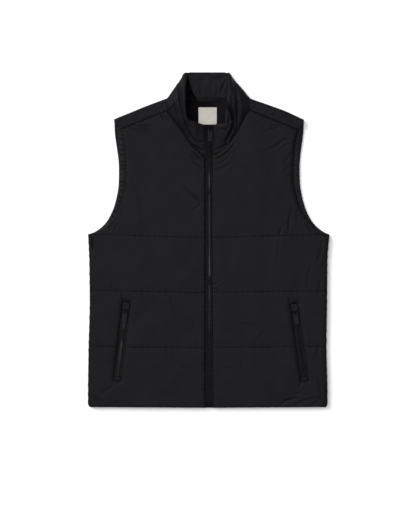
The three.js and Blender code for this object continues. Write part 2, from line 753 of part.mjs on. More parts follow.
function hangLoopGeometry() {
  const sections = [];
  for (let i = 0; i <= 12; i += 1) {
    const x = lerp(-26, 25, i / 12);
    const bow = Math.sin((Math.PI * i) / 12);
    const y = 320.3 - 3.2 * bow;
    const z = backInnerZ(100, BACK_NECK_Y - y) + 2 * GAP + LINING_THICK + 0.6 + 1.4 * bow;
    sections.push([
      new THREE.Vector3(x, y - 2.2, z),
      new THREE.Vector3(x, y + 2.2, z),
      new THREE.Vector3(x, y + 2.2, z + 1.2),
      new THREE.Vector3(x, y - 2.2, z + 1.2),
    ]);
  }
  return barThrough(sections);
}

// Heights at which the zip's sections lie.
const ZIP_LEVELS = [-372, -310, -250, -190, -120, -60, 0, 60, 120, 145, 160, 175, 190, 205, 220, 235,
  SLIDER_Y - SLIDER_HALF - GAP];
const TAPE_LEVELS = [-380.5, ...ZIP_LEVELS.slice(1, -1), 247, 259.5];

function tapeGeometry(side) {
  const sign = SIDES[side];
  return barThrough(TAPE_LEVELS.map((y) => {
    const centre = readTable(ZIP, 'y', 'centre', y);
    const edge = readTable(ZIP, 'y', side, y) - sign * GAP;
    const chainSide = centre + sign * (CHAIN_HALF + GAP);
    const z = readTable(ZIP, 'y', 'base', y);
    return [
      new THREE.Vector3(chainSide, y, z),
      new THREE.Vector3(edge, y, z),
      new THREE.Vector3(edge, y, z + TAPE_THICK),
      new THREE.Vector3(chainSide, y, z + TAPE_THICK),
    ];
  }));
}

function chainSection(centre, y, z, half, thick) {
  return [
    new THREE.Vector3(centre - half, y, z),
    new THREE.Vector3(centre + half, y, z),
    new THREE.Vector3(centre + half, y, z + 0.6 * thick),
    new THREE.Vector3(centre + 0.6 * half, y, z + thick),
    new THREE.Vector3(centre - 0.6 * half, y, z + thick),
    new THREE.Vector3(centre - half, y, z + 0.6 * thick),
  ];
}

function chainGeometry() {
  return barThrough(ZIP_LEVELS.map((y) => chainSection(
    readTable(ZIP, 'y', 'centre', y), y, readTable(ZIP, 'y', 'base', y), CHAIN_HALF, CHAIN_THICK,
  )));
}

// Slider body with a bridge that holds the pull tab; its pivot is over the origin.
function sliderGeometry(height, backLength, frontLength) {
  const shape = new THREE.Shape();
  shape.moveTo(-3.1, -backLength);
  shape.lineTo(3.1, -backLength);
  shape.lineTo(4.2, frontLength - 2.5);
  shape.quadraticCurveTo(4.2, frontLength, 2, frontLength);
  shape.lineTo(-2, frontLength);
  shape.quadraticCurveTo(-4.2, frontLength, -4.2, frontLength - 2.5);
  shape.closePath();
  const body = toSolid(prism(shape, 0, height));
  const bridge = toSolid(box(-1.25, 1.25, -2.6, 2.6, height - 0.2, height + 3.7));
  const tunnel = toSolid(box(-2, 2, -1.25, 1.25, height + 0.2, height + 2.7));
  return toGeometry(body.add(bridge.subtract(tunnel)));
}

// Pull tab: a plate with a notch for the bridge and a bar through it, hanging down -Y.
function pullGeometry() {
  const half = PULL_WIDTH / 2;
  const outline = roundedRectangle(-half, half, -PULL_LENGTH, 0.75, 0.7);
  const plate = toSolid(prism(outline, -PULL_THICK / 2, PULL_THICK / 2));
  const notch = toSolid(box(-1.75, 1.75, -4.8, 2, -2, 2));
  const bar = new THREE.CylinderGeometry(0.75, 0.75, 5, 8).rotateY(Math.PI / 8).rotateZ(Math.PI / 2);
  return toGeometry(plate.subtract(notch).add(toSolid(bar)));
}

// Angle at which the pull tab lies, with its free end just above the chain.
function pullSlope(sliderTop, chainTop) {
  const drop = sliderTop + PIVOT_RISE - chainTop - GAP - PULL_THICK / 2;
  return Math.asin(drop / PULL_LENGTH);
}

// Materials by the look of each piece.
const materials = {
  shell: new THREE.MeshStandardMaterial({ color: 0x212022, roughness: 0.8, metalness: 0 }),
  facing: new THREE.MeshStandardMaterial({ color: 0x1a1a1c, roughness: 0.75, metalness: 0 }),
  lining: new THREE.MeshStandardMaterial({ color: 0x0f0f11, roughness: 0.85, metalness: 0 }),
  label: new THREE.MeshStandardMaterial({ color: 0xbbb7b2, roughness: 0.7, metalness: 0 }),
  tape: new THREE.MeshStandardMaterial({ color: 0x141415, roughness: 0.9, metalness: 0 }),
  coil: new THREE.MeshStandardMaterial({ color: 0x28292b, roughness: 0.35, metalness: 0 }),
  metal: new THREE.MeshStandardMaterial({ color: 0x2b2c2e, roughness: 0.4, metalness: 0.6 }),
};

const vest = new THREE.Group();

function addPiece(parent, name, geometry, material) {
  const mesh = new THREE.Mesh(geometry, material);
  mesh.name = name;
  parent.add(mesh);
  return mesh;
}

// Body and collar
addPiece(vest, 'back', backGeometry(), materials.shell);
addPiece(vest, 'collar', collarGeometry(), materials.shell);
for (const side of Object.keys(SIDES)) {
  addPiece(vest, `front_${side}`, frontGeometry(side), materials.shell);
  addPiece(vest, `armhole_facing_${side}`, facingGeometry(side), materials.facing);
}

// Inside the neck
const liningRaise = GAP;
const labelRaise = liningRaise + LINING_THICK + GAP;
const lining = { x0: -55, x1: 50, y0: 254, y1: BACK_NECK_Y - 0.6, raise: liningRaise, thick: LINING_THICK };
const label = { x0: -24.2, x1: 18.7, y0: 255, y1: 303.7, raise: labelRaise, thick: LABEL_THICK, columns: 2, rows: 4 };
addPiece(vest, 'neck_lining', neckSheet(lining), materials.lining);
addPiece(vest, 'neck_label', neckSheet(label), materials.label);
addPiece(vest, 'hang_loop', hangLoopGeometry(), materials.lining);

// Front zip
addPiece(vest, 'zip_tape_right', tapeGeometry('right'), materials.tape);
addPiece(vest, 'zip_tape_left', tapeGeometry('left'), materials.tape);
addPiece(vest, 'zip_chain', chainGeometry(), materials.coil);
const zipFoot = box(-4.4, 6.8, -380.7, -372.3, FRONT_UNDER + TAPE_THICK + GAP, FRONT_UNDER + 4);
addPiece(vest, 'zip_box', zipFoot, materials.metal);

const sliderBase = readTable(ZIP, 'y', 'base', SLIDER_Y);
const sliderFall = sliderBase - readTable(ZIP, 'y', 'base', SLIDER_Y - 10);
const frontZip = new THREE.Group();
frontZip.position.set(readTable(ZIP, 'y', 'centre', SLIDER_Y), SLIDER_Y, sliderBase + TAPE_THICK + GAP + 0.2);
frontZip.rotation.x = Math.atan2(sliderFall, 10);
vest.add(frontZip);
const frontSliderHeight = 3;
addPiece(frontZip, 'zip_slider', sliderGeometry(frontSliderHeight, SLIDER_HALF, SLIDER_HALF), materials.metal);
const frontPull = addPiece(frontZip, 'zip_pull', pullGeometry(), materials.metal);
frontPull.position.z = frontSliderHeight + PIVOT_RISE;
frontPull.rotation.x = pullSlope(frontSliderHeight, CHAIN_THICK - TAPE_THICK - GAP);

// Pocket zips, each in a slot of its front, under a garage at both ends
const POCKET_SLIDER_HEIGHT = 2.3;
const POCKET_CHAIN_TOP = 2.6;

function addPocket(side) {
  const { length, turn, matrix } = pocketFrame(side);
  const pocket = new THREE.Group();
  pocket.position.setFromMatrixPosition(matrix);
  pocket.position.z = POCKET_FLOOR + GAP;
  pocket.rotation.z = turn;
  vest.add(pocket);
  const half = POCKET_WIDTH / 2 - 0.5;
  const pivotY = -GARAGE_LENGTH - 3.2;
  const zipEnd = -length + GARAGE_BASE_LENGTH + 0.8;

  const hood = toSolid(prism(roundedRectangle(-half, half, -GARAGE_LENGTH, -0.5, 1.6), 0, 5.3));
  const hollow = toSolid(box(-4.9, 4.9, -GARAGE_LENGTH - 1, -GARAGE_LENGTH + 6, TAPE_THICK, 4.2));
  addPiece(pocket, `pocket_garage_top_${side}`, toGeometry(hood.subtract(hollow)), materials.shell);

  const base = prism(roundedRectangle(-half, half, -length + 0.5, zipEnd - GAP, 1.6), 0, 3.4);
  addPiece(pocket, `pocket_garage_base_${side}`, base, materials.shell);

  const tape = box(-half, half, zipEnd, -GARAGE_LENGTH - GAP, 0, TAPE_THICK);
  addPiece(pocket, `pocket_tape_${side}`, tape, materials.tape);
  const chainBase = TAPE_THICK + GAP;
  const sections = [zipEnd, pivotY - 5].map((y) => chainSection(0, y, chainBase, 2.6, POCKET_CHAIN_TOP - chainBase));
  addPiece(pocket, `pocket_chain_${side}`, barThrough(sections), materials.coil);

  const slider = addPiece(pocket, `pocket_slider_${side}`, sliderGeometry(POCKET_SLIDER_HEIGHT, 4.6, 8), materials.metal);
  slider.position.set(0, pivotY, TAPE_THICK + GAP);
  const pull = addPiece(pocket, `pocket_pull_${side}`, pullGeometry(), materials.metal);
  pull.position.set(0, pivotY, TAPE_THICK + GAP + POCKET_SLIDER_HEIGHT + PIVOT_RISE);
  pull.rotation.x = pullSlope(TAPE_THICK + GAP + POCKET_SLIDER_HEIGHT, POCKET_CHAIN_TOP);
}

addPocket('right');
addPocket('left');

export default vest;
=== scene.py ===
import math

import bpy
import numpy as np
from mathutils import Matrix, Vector
from mathutils.bvhtree import BVHTree


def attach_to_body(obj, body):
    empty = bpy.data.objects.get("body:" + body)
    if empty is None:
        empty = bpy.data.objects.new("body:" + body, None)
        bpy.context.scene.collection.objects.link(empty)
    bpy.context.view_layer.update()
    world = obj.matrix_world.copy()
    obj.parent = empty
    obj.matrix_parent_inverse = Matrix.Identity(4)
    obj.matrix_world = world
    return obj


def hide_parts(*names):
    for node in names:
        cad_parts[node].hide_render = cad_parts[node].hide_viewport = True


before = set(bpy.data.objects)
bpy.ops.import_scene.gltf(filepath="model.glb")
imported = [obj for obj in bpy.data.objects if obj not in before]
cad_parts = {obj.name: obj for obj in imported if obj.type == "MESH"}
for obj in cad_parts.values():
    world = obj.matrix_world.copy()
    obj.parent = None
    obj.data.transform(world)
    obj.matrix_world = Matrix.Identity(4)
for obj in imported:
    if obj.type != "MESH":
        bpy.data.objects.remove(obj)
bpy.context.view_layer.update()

# Back
# A lightly padded panel of black woven nylon, sewn through along three quilting lines.
# It turns forward over the shoulders, where it is sewn to the fronts.
# Tables are in millimetres and add_mesh() turns them into metres. right and left are the wearer's.
MM = 0.001
GAP = 0.3
SIDES = {"right": -1, "left": 1}
HEM_Y = -382.6
HEM_CORNER = 10
BACK_THICK = 7
FOLD_RADIUS = 7.25
NECK_HALF = 95
SHOULDER_HALF = 216
BACK_NECK_Y = 323
QUILT_TOP_Y = 13
FRONT_UNDER = BACK_THICK + GAP
SHARP_ANGLE = 52


def table(columns, *rows):
    return dict(zip(columns.split(), np.array(rows, float).T))


# Half width of both panels at each height.
SIDE_EDGE = table(
    "y right left",
    (-381, 275.2, 271), (-351, 275.2, 271.2), (-242, 273.8, 268.9), (-146, 271.3, 270.2),
    (-50, 272.2, 271), (13, 275, 275.6),
)
BACK_ARMHOLE = table(
    "y right left",
    (13, 275, 275.6), (18.5, 260, 263), (32, 241.5, 245.3), (46, 230, 234), (59.5, 222.8, 226.8),
    (73, 217, 220.8), (100.5, 209.5, 213.2), (128, 205.4, 208.8), (155, 204.8, 207.8), (210, 206, 208),
    (237, 207.8, 209.8), (268.3, 215, 217),
)
# Height of the folded shoulder at each half width.
SHOULDER = table(
    "x right left",
    (95, 323.5, 323), (143, 305.6, 306.3), (176, 292, 294), (209, 278.6, 278.8), (217, 275, 275),
)
# Quilting lines and hem: height at the zip and at the side seam.
QUILT = {
    "right": [(HEM_Y, HEM_Y + 1.6), (-246.5, -243), (-121, -115), (5, QUILT_TOP_Y)],
    "left": [(HEM_Y, HEM_Y + 1.6), (-245.5, -243), (-120, -116), (5, QUILT_TOP_Y)],
}


def mix(a, b, share):
    return a + (b - a) * share


def smooth(at, low, high):
    t = np.clip((at - low) / (high - low), 0, 1)
    return t * t * (3 - 2 * t)


def rise(distance, width):
    """How far padding has risen at a distance from its seam, from 0 to 1."""
    return np.sqrt(1 - (1 - np.clip(distance / width, 0, 1)) ** 2)


def read(rows, key, column, at):
    """Value of a table's column between its rows, without overshoot."""
    x, v = rows[key], rows[column]
    secant = np.diff(v) / np.diff(x)
    before, after = np.r_[secant[:1], secant], np.r_[secant, secant[-1:]]
    product = before * after
    slope = np.where(product > 0, 2 * product / np.where(product > 0, before + after, 1), 0)
    i = np.clip(np.searchsorted(x, at) - 1, 0, len(secant) - 1)
    width = np.diff(x)[i]
    t = np.clip((at - x[i]) / width, 0, 1)
    pull = t * (1 - t) ** 2 * width * slope[i] + t * t * (t - 1) * width * slope[i + 1]
    return mix(v[i], v[i + 1], t * t * (3 - 2 * t)) + pull


def curve(points, shares):
    """Points at shares of the length of a smooth curve through the given ones."""
    p = np.array(points, float)
    p = np.vstack([p[:1], p, p[-1:]])
    t = np.linspace(0, 1, 24, endpoint=False)[:, None]
    dense = []
    for a, b, c, d in zip(p, p[1:], p[2:], p[3:]):
        start, end = (c - a) / 2, (d - b) / 2
        cubic, square = 2 * b - 2 * c + start + end, 3 * c - 3 * b - 2 * start - end
        dense.append(cubic * t**3 + square * t**2 + start * t + b)
    dense = np.vstack(dense + [p[-1:]])
    length = np.r_[0, np.cumsum(np.linalg.norm(np.diff(dense, axis=0), axis=1))]
    return np.stack([np.interp(np.asarray(shares) * length[-1], length, axis) for axis in dense.T], -1)


def from_path(x, y, path):
    """Distance of each point from a path in plan, and its share of the path's length there."""
    p = np.stack([x, y], -1)[..., None, :]
    a, b = path[:-1, :2], path[1:, :2]
    along = b - a
    length = np.linalg.norm(along, axis=-1)
    t = np.clip(((p - a) * along).sum(-1) / np.maximum(length, 1e-9) ** 2, 0, 1)
    distance = np.linalg.norm(p - a - t[..., None] * along, axis=-1)
    nearest = distance.argmin(-1)
    pick = lambda values: np.take_along_axis(values, nearest[..., None], -1)[..., 0]
    start = np.r_[0, np.cumsum(length)]
    return pick(distance), (start[nearest] + pick(t) * length[nearest]) / start[-1]


def waves(x, y, length, seed, count=8):
    """Uneven swell of about the given wavelength, mostly between -1 and 1."""
    random = np.random.default_rng(seed)
    total = np.zeros(np.broadcast(x, y).shape)
    for _ in range(count):
        turn, phase = random.uniform(0, 2 * math.pi, 2)
        k = 2 * math.pi / (length * random.uniform(0.7, 1.5))
        total += np.sin(k * (x * math.cos(turn) + y * math.sin(turn)) + phase)
    return total / math.sqrt(count)


def puckers(along, away, pitch, reach, seed):
    """Small uneven gathers beside a seam, fading away from it."""
    wander = waves(along, 0, pitch * 5, seed)
    strength = 0.65 + 0.35 * waves(along, 0, pitch * 4, seed + 1)
    return strength * np.sin(2 * math.pi * along / pitch + 1.6 * wander) * np.exp(-((away / reach) ** 1.5))


def gathers(along, pitch, width, seed):
    """Narrow dips at uneven distances along a seam, up to 1 deep."""
    at = along / pitch + 0.35 * waves(along, 0, 3.3 * pitch, seed)
    number = np.round(at)
    depth = np.random.default_rng(seed).uniform(0.35, 1, 300)[number.astype(int) % 300]
    return depth * np.exp(-(((at - number) * pitch / width) ** 2))


def creased(x, y, rows):
    """Depth of creases at each point: a groove with lips, fading at both ends."""
    depth = np.zeros(x.shape)
    for deepest, half, *line in rows:
        path = curve(line, np.linspace(0, 1, 17))
        reach = 4 * half
        low, high = path.min(0) - reach, path.max(0) + reach
        near = (x > low[0]) & (x < high[0]) & (y > low[1]) & (y < high[1])
        if not near.any():
            continue
        distance, share = from_path(x[near], y[near], path)
        d = distance / half
        profile = np.exp(-(d**2)) - 0.16 * np.exp(-(((d - 2.1) / 0.9) ** 2))
        fade = np.sin(math.pi * np.clip(share, 0, 1)) ** 0.6
        depth[near] += deepest * fade * profile
    return depth


def steps(length, spacing, near=(0.5, 1.2, 2.1, 3.2, 4.5, 6, 8)):
    """Shares from 0 to 1, closer together at both ends of a length."""
    close = np.array(near) / length
    count = max(3, round((1 - 2 * close[-1]) * length / spacing) + 1)
    middle = np.linspace(close[-1], 1 - close[-1], count)
    return np.r_[0, close[:-1], middle, 1 - close[:-1][::-1], 1]


def add_object(name, data):
    made = bpy.data.objects.new(name, data)
    bpy.context.scene.collection.objects.link(made)
    return made


def add_mesh(name, points, faces, material):
    """New smooth piece from points in millimetres, its faces turned outwards."""
    points = np.asarray(points, float)
    volume = 0
    for face in faces:
        a, b, c, d = (points[face[i]] for i in (0, 1, 2, -1))
        volume += np.dot(a, np.cross(b, c)) + np.dot(a, np.cross(c, d))
    faces = [list(face) if volume > 0 else list(face)[::-1] for face in faces]
    used = np.unique(np.concatenate(faces))
    number = np.zeros(len(points), int)
    number[used] = np.arange(len(used))
    data = bpy.data.meshes.new(name)
    data.from_pydata((points[used] * MM).tolist(), [], [number[face].tolist() for face in faces])
    data.materials.append(material)
    data.shade_smooth()
    data.set_sharp_from_angle(angle=math.radians(SHARP_ANGLE))
    return add_object(name, data)


def cells(at):
    """The four corners of each cell of a grid of point numbers."""
    return np.stack([at[:-1, :-1], at[:-1, 1:], at[1:, 1:], at[1:, :-1]], -1)


def add_wall(name, outer, inner, material, keep=None):
    """Closed wall between two matching grids of points; keep is a mask of its cells."""
    rows, columns = outer.shape[:2]
    keep = np.ones((rows - 1, columns - 1), bool) if keep is None else keep
    at = np.arange(rows * columns).reshape(rows, columns)
    other = rows * columns
    corners = cells(at)
    faces = [corners[keep], corners[keep][:, ::-1] + other]
    around = np.pad(keep, 1)
    beside = [around[:-2, 1:-1], around[1:-1, 2:], around[2:, 1:-1], around[1:-1, :-2]]
    for edge, neighbour in enumerate(beside):
        rim = corners[keep & ~neighbour]
        start, end = rim[:, edge], rim[:, (edge + 1) % 4]
        faces.append(np.stack([end, start, start + other, end + other], -1))
    points = np.concatenate([outer.reshape(-1, 3), inner.reshape(-1, 3)])
    return add_mesh(name, points, np.concatenate(faces), material)


def attach(piece, slot, *nodes, body="vest"):
    """Hides the CAD nodes that a piece stands for and puts it on its body. Its slot is not used."""
    if nodes:
        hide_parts(*nodes)
    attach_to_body(piece, body)


def fill(made, inputs):
    """Links a node's inputs, or fills them in. A node given there stands for its first output."""
    for key, value in inputs.items():
        if isinstance(value, bpy.types.Node):
            value = value.outputs[0]
        if isinstance(value, bpy.types.NodeSocket):
            made.id_data.links.new(value, made.inputs[key])
        else:
            made.inputs[key].default_value = value
    return made


def node(tree, kind, inputs=None, **settings):
    """Shader or geometry node with its settings and inputs."""
    made = tree.nodes.new(kind)
    for key, value in settings.items():
        setattr(made, key, value)
    return fill(made, inputs or {})


def new_material(name):
    """Material, its node tree, its shader, and each point's place on the vest."""
    material = bpy.data.materials.new(name)
    material.use_nodes = True
    tree = material.node_tree
    return material, tree, tree.nodes["Principled BSDF"], node(tree, "ShaderNodeTexCoord").outputs["Object"]


def noise(tree, place, scale, detail, roughness=0.5):
    inputs = {"Vector": place, "Scale": scale, "Detail": detail, "Roughness": roughness}
    return node(tree, "ShaderNodeTexNoise", inputs)


def shade_ramp(tree, factor, low, high):
    """Colours from low to high along a factor."""
    ramp = node(tree, "ShaderNodeValToRGB", {"Fac": factor})
    for element, colour, position in zip(ramp.color_ramp.elements, (low, high), (0.3, 0.7)):
        element.color = (*colour, 1)
        element.position = position
    return ramp


# Width of a Wave Texture's band at scale 1, in metres.
WAVE_BAND = 0.314
CRINKLE_HEIGHT = 0.48


def woven(name, low, high, rough, shine, thread=0.5, depth=0.05):
    """Woven cloth: threads of a width in millimetres, a soft mottle and fine crinkles."""
    material, tree, shader, place = new_material(name)
    bands = {"Vector": place, "Scale": WAVE_BAND / (thread * MM), "Distortion": 0.6}
    warp, weft = (node(tree, "ShaderNodeTexWave", bands, bands_direction=way).outputs["Fac"] for way in "XY")
    weave = node(tree, "ShaderNodeMath", {0: warp, 1: weft}, operation="MAXIMUM")
    mottle, fine = noise(tree, place, 22, 5, 0.6), noise(tree, place, 210, 4, 0.55)
    dullness = {"Value": fine, "To Min": rough - 0.06, "To Max": rough + 0.06}
    crinkles = {"Height": fine, "Distance": CRINKLE_HEIGHT * MM, "Strength": 0.5}
    threads = {"Height": weave, "Distance": depth * MM, "Strength": 0.6,
               "Normal": node(tree, "ShaderNodeBump", crinkles)}
    fill(shader, {
        "Base Color": shade_ramp(tree, mottle, low, high), "Specular IOR Level": shine,
        "Roughness": node(tree, "ShaderNodeMapRange", dullness),
        "Normal": node(tree, "ShaderNodeBump", threads)})
    return material


def grey(level):
    return (level * 1.02, level * 0.97, level * 1.2)


shell = woven("shell_nylon", grey(0.0045), grey(0.0056), rough=0.54, shine=0.064)


def side_edge(side, y):
    """Half width of the body at a height, with the hem's rounded corner."""
    to_corner = np.clip(HEM_CORNER - (y - HEM_Y), 0, HEM_CORNER)
    cut = HEM_CORNER - np.sqrt(HEM_CORNER**2 - to_corner**2)
    return read(SIDE_EDGE, "y", side, y) - 0.9 * cut


def armhole(rows, side, shares):
    return curve(np.stack([rows[side], rows["y"]], -1), shares)


def back_neck_y(x):
    return BACK_NECK_Y - 6.9 * smooth(np.abs(x), 76, NECK_HALF)


def back_inner_z(from_armhole, from_top):
    """Inner face of the back: lower beside the armholes, the neck and the shoulders."""
    at_armhole = 3 * (1 - smooth(from_armhole, 24, 46))
    return BACK_THICK - np.maximum(at_armhole, 2 * (1 - smooth(from_top, 0, 14)))


NECK_SHARE = NECK_HALF / SHOULDER_HALF
outward = np.r_[np.linspace(0, NECK_SHARE, 22), NECK_SHARE + (1 - NECK_SHARE) * steps(120, 3)[1:]]
spread = np.r_[-outward[:0:-1], outward]
side_signs = np.where(spread < 0, -1, 1)
is_right = spread < 0


def by_side(value):
    """Values along a row of the back from a function of the side."""
    return np.where(is_right, value("right"), value("left"))


def back_row(half_width, y, inner_z, from_side, from_quilt):
    """One row of the back: its outer face lies on the ground, with quilting grooves."""
    x = spread * half_width
    groove = np.maximum(2.2 * (1 - rise(from_quilt, 14)), 2 * (1 - rise(from_side, 8)))
    outer = np.stack([x, y, groove], -1)
    return outer, np.stack([x, y, inner_z], -1)


back_rows = []
size = np.abs(spread)
for chamber in range(3):
    for up in steps(126, 9)[:-1]:
        low, high = (by_side(lambda s: mix(*QUILT[s][line], size)) for line in (chamber, chamber + 1))
        y = mix(low, high, up)
        half_width = by_side(lambda s: side_edge(s, y))
        from_quilt = high - y if chamber == 0 else np.minimum(high - y, y - low)
        inner_z = BACK_THICK - 1.5 * (1 - rise(y - HEM_Y, 10))
        back_rows.append(back_row(half_width, y, inner_z, half_width * (1 - size), from_quilt))

past_neck = np.maximum(0, (size - NECK_SHARE) / (1 - NECK_SHARE))
over_neck = size * NECK_HALF / NECK_SHARE
top_x = by_side(lambda s: np.where(past_neck > 0, mix(NECK_HALF, BACK_ARMHOLE[s][-1], past_neck), over_neck))
fold_y = by_side(lambda s: read(SHOULDER, "x", s, top_x) - FOLD_RADIUS)
top_y = np.where(past_neck > 0, fold_y, back_neck_y(top_x))
for up in np.r_[steps(300, 7)[:-1], 1]:
    arm_y = mix(QUILT_TOP_Y, BACK_ARMHOLE["y"][-1], up)
    half_width = by_side(lambda s: read(BACK_ARMHOLE, "y", s, arm_y))
    bottom = mix(QUILT["left"][3][0], QUILT_TOP_Y, size)
    x = mix(size * half_width, top_x, smooth(up, 0.6, 1))
    y = mix(bottom, top_y, up)
    to_armhole = by_side(lambda s: from_path(x, y, armhole(BACK_ARMHOLE, s, np.linspace(0, 1, 81)))[0])
    row = back_row(1, y, back_inner_z(to_armhole, top_y - y), half_width * (1 - size), y - bottom)
    for face in row:
        face[:, 0] = side_signs * x
    back_rows.append(row)
flat_rows = len(back_rows)

# Seam of the collar on each front, from the zip to the shoulder seam, and the fronts' armholes.
FRONT_NECK = {
    "right": [(8.8, 189.5), (24, 204), (40.4, 219), (60.6, 248), (76, 269), (89, 287), (94.7, 294.6)],
    "left": [(10.4, 190.5), (24, 200), (41, 213), (63.4, 242), (77.7, 269), (89, 288), (94.7, 295.6)],
}
FRONT_ARMHOLE = table(
    "y right left",
    (13, 275, 274.5), (23, 247.6, 249), (36.7, 231.6, 233.5), (52.7, 218, 220.5), (73.2, 205.4, 208),
    (96, 196.8, 199.5), (121, 190.8, 193.5), (156, 188.6, 191.3), (192, 189.7, 192.5), (226, 193.1, 196),
    (252, 200.2, 203),
)


def shoulder_seam(side, shares):
    """Seam between a front and the back's forward edge, from the collar to the armhole."""
    start = np.array(FRONT_NECK[side][-1], float)
    end = np.array([FRONT_ARMHOLE[side][-1], FRONT_ARMHOLE["y"][-1]])
    return mix(start, end, np.asarray(shares)[..., None])


outer, inner = (np.array([row[face] for row in back_rows]) for face in (0, 1))
base, thick = outer[-1], inner[-1][:, 2]
right_seam, left_seam = (shoulder_seam(s, past_neck) * (sign, 1) for s, sign in SIDES.items())
seam = np.where(is_right[:, None], right_seam, left_seam)
to_fold = base[:, :2] - seam
seam = seam + GAP * to_fold / np.linalg.norm(to_fold, axis=-1, keepdims=True)
outer_turns, inner_turns = [], []
for angle in np.radians(np.arange(15, 181, 15)):
    lift, reach = math.cos(angle), math.sin(angle)
    for radius, turns in ((FOLD_RADIUS + 0 * thick, outer_turns), (FOLD_RADIUS - thick, inner_turns)):
        turns.append(np.stack([base[:, 0], base[:, 1] + radius * reach, FOLD_RADIUS - radius * lift], -1))
# The part that comes forward over the shoulder, with the folds that gather beside its seam.
# A crease is its depth, its half width and the points that it runs through.
SHOULDER_CREASES = [
    (1.5, 2.4, (-103, 322), (-103, 312), (-104, 300)),
    (0.9, 2.2, (-92, 318), (-97, 306)),
    (0.7, 4, (-150, 299), (-132, 296), (-120, 298)),
    (1.2, 3, (112, 308), (104, 300), (100, 292)),
    (0.8, 2.4, (113, 293), (131, 301)),
    (1, 2.6, (146, 284), (161, 295)),
    (1.5, 3, (164, 280), (176, 280), (186, 274), (198, 268)),
    (0.6, 3, (-205, 268), (-190, 274)),
]
TOP_Z = 2 * FOLD_RADIUS
for step in steps(20, 1.6, near=(0.6, 1.3, 2.2))[1:]:
    place = mix(base[:, :2], seam, step)
    from_seam = (1 - step) * 22
    swell = 0.4 * waves(place[:, 0], place[:, 1], 28, 31) * math.sin(math.pi * step)
    z = TOP_Z - 1.5 * (1 - rise(from_seam, 6)) + swell
    z = z - creased(place[:, 0], place[:, 1], SHOULDER_CREASES)
    z = z + 0.35 * puckers(place[:, 0], np.full(len(place), from_seam), 9, 5, 37)
    outer_turns.append(np.column_stack([place, z]))
    inner_turns.append(np.column_stack([place, mix(TOP_Z - thick, 7.9, step)]))
outer, inner = np.concatenate([outer, outer_turns]), np.concatenate([inner, inner_turns])
row_number, column_middle = np.arange(len(outer) - 1)[:, None], np.abs(spread[1:] + spread[:-1])[None] / 2
outer[:flat_rows, :, 2] += 0.25 * (1 + waves(outer[:flat_rows, :, 0], outer[:flat_rows, :, 1], 60, 5)) * (
    outer[:flat_rows, :, 2] < 0.4)
outer[:flat_rows, :, 2] = np.maximum(outer[:flat_rows, :, 2], 0)
below_neck_or_beside = (row_number < flat_rows - 1) | (column_middle > NECK_SHARE)
back = add_wall("vest_back", outer, inner, shell, below_neck_or_beside)
attach(back, "shell", "back")

# Fronts
# Two padded panels of the same nylon, quilted in line with the back and open at the neck.
# Each has a slanted slot for its pocket's zip, and lies on the back panel.
FRONT_LOFT = 7.7
EDGE_THICK = 5
POCKET_WIDTH = 17.4
POCKET_FLOOR = 9.6
# Front zip: edges of the two fronts, middle of the chain, underside of the tape.
ZIP = table(
    "y right centre left base",
    (-381, -8.2, 1.5, 10.2, 7.6), (-368, -8.2, 1.5, 10.2, 9), (-250, -8.2, 1.3, 9.8, 9),
    (-120, -8.3, 1.2, 8.6, 9), (0, -8.3, 1.1, 8.3, 9), (120, -8.3, 0.7, 7.9, 9), (160, -8.4, 0.9, 9.2, 9),
    (190, -8.6, 1.4, 9.6, 9.2), (222, -8.4, 1.9, 7.6, 10.8), (246, -8, 2.6, 7.8, 12.8),
    (261, -7.4, 3, 10.8, 14),
)
# Top and bottom end of each pocket's middle line.
POCKETS = {
    "right": ((-187.2, -140.5), (-208.5, -321)),
    "left": ((194.5, -144), (219.4, -321.8)),
}
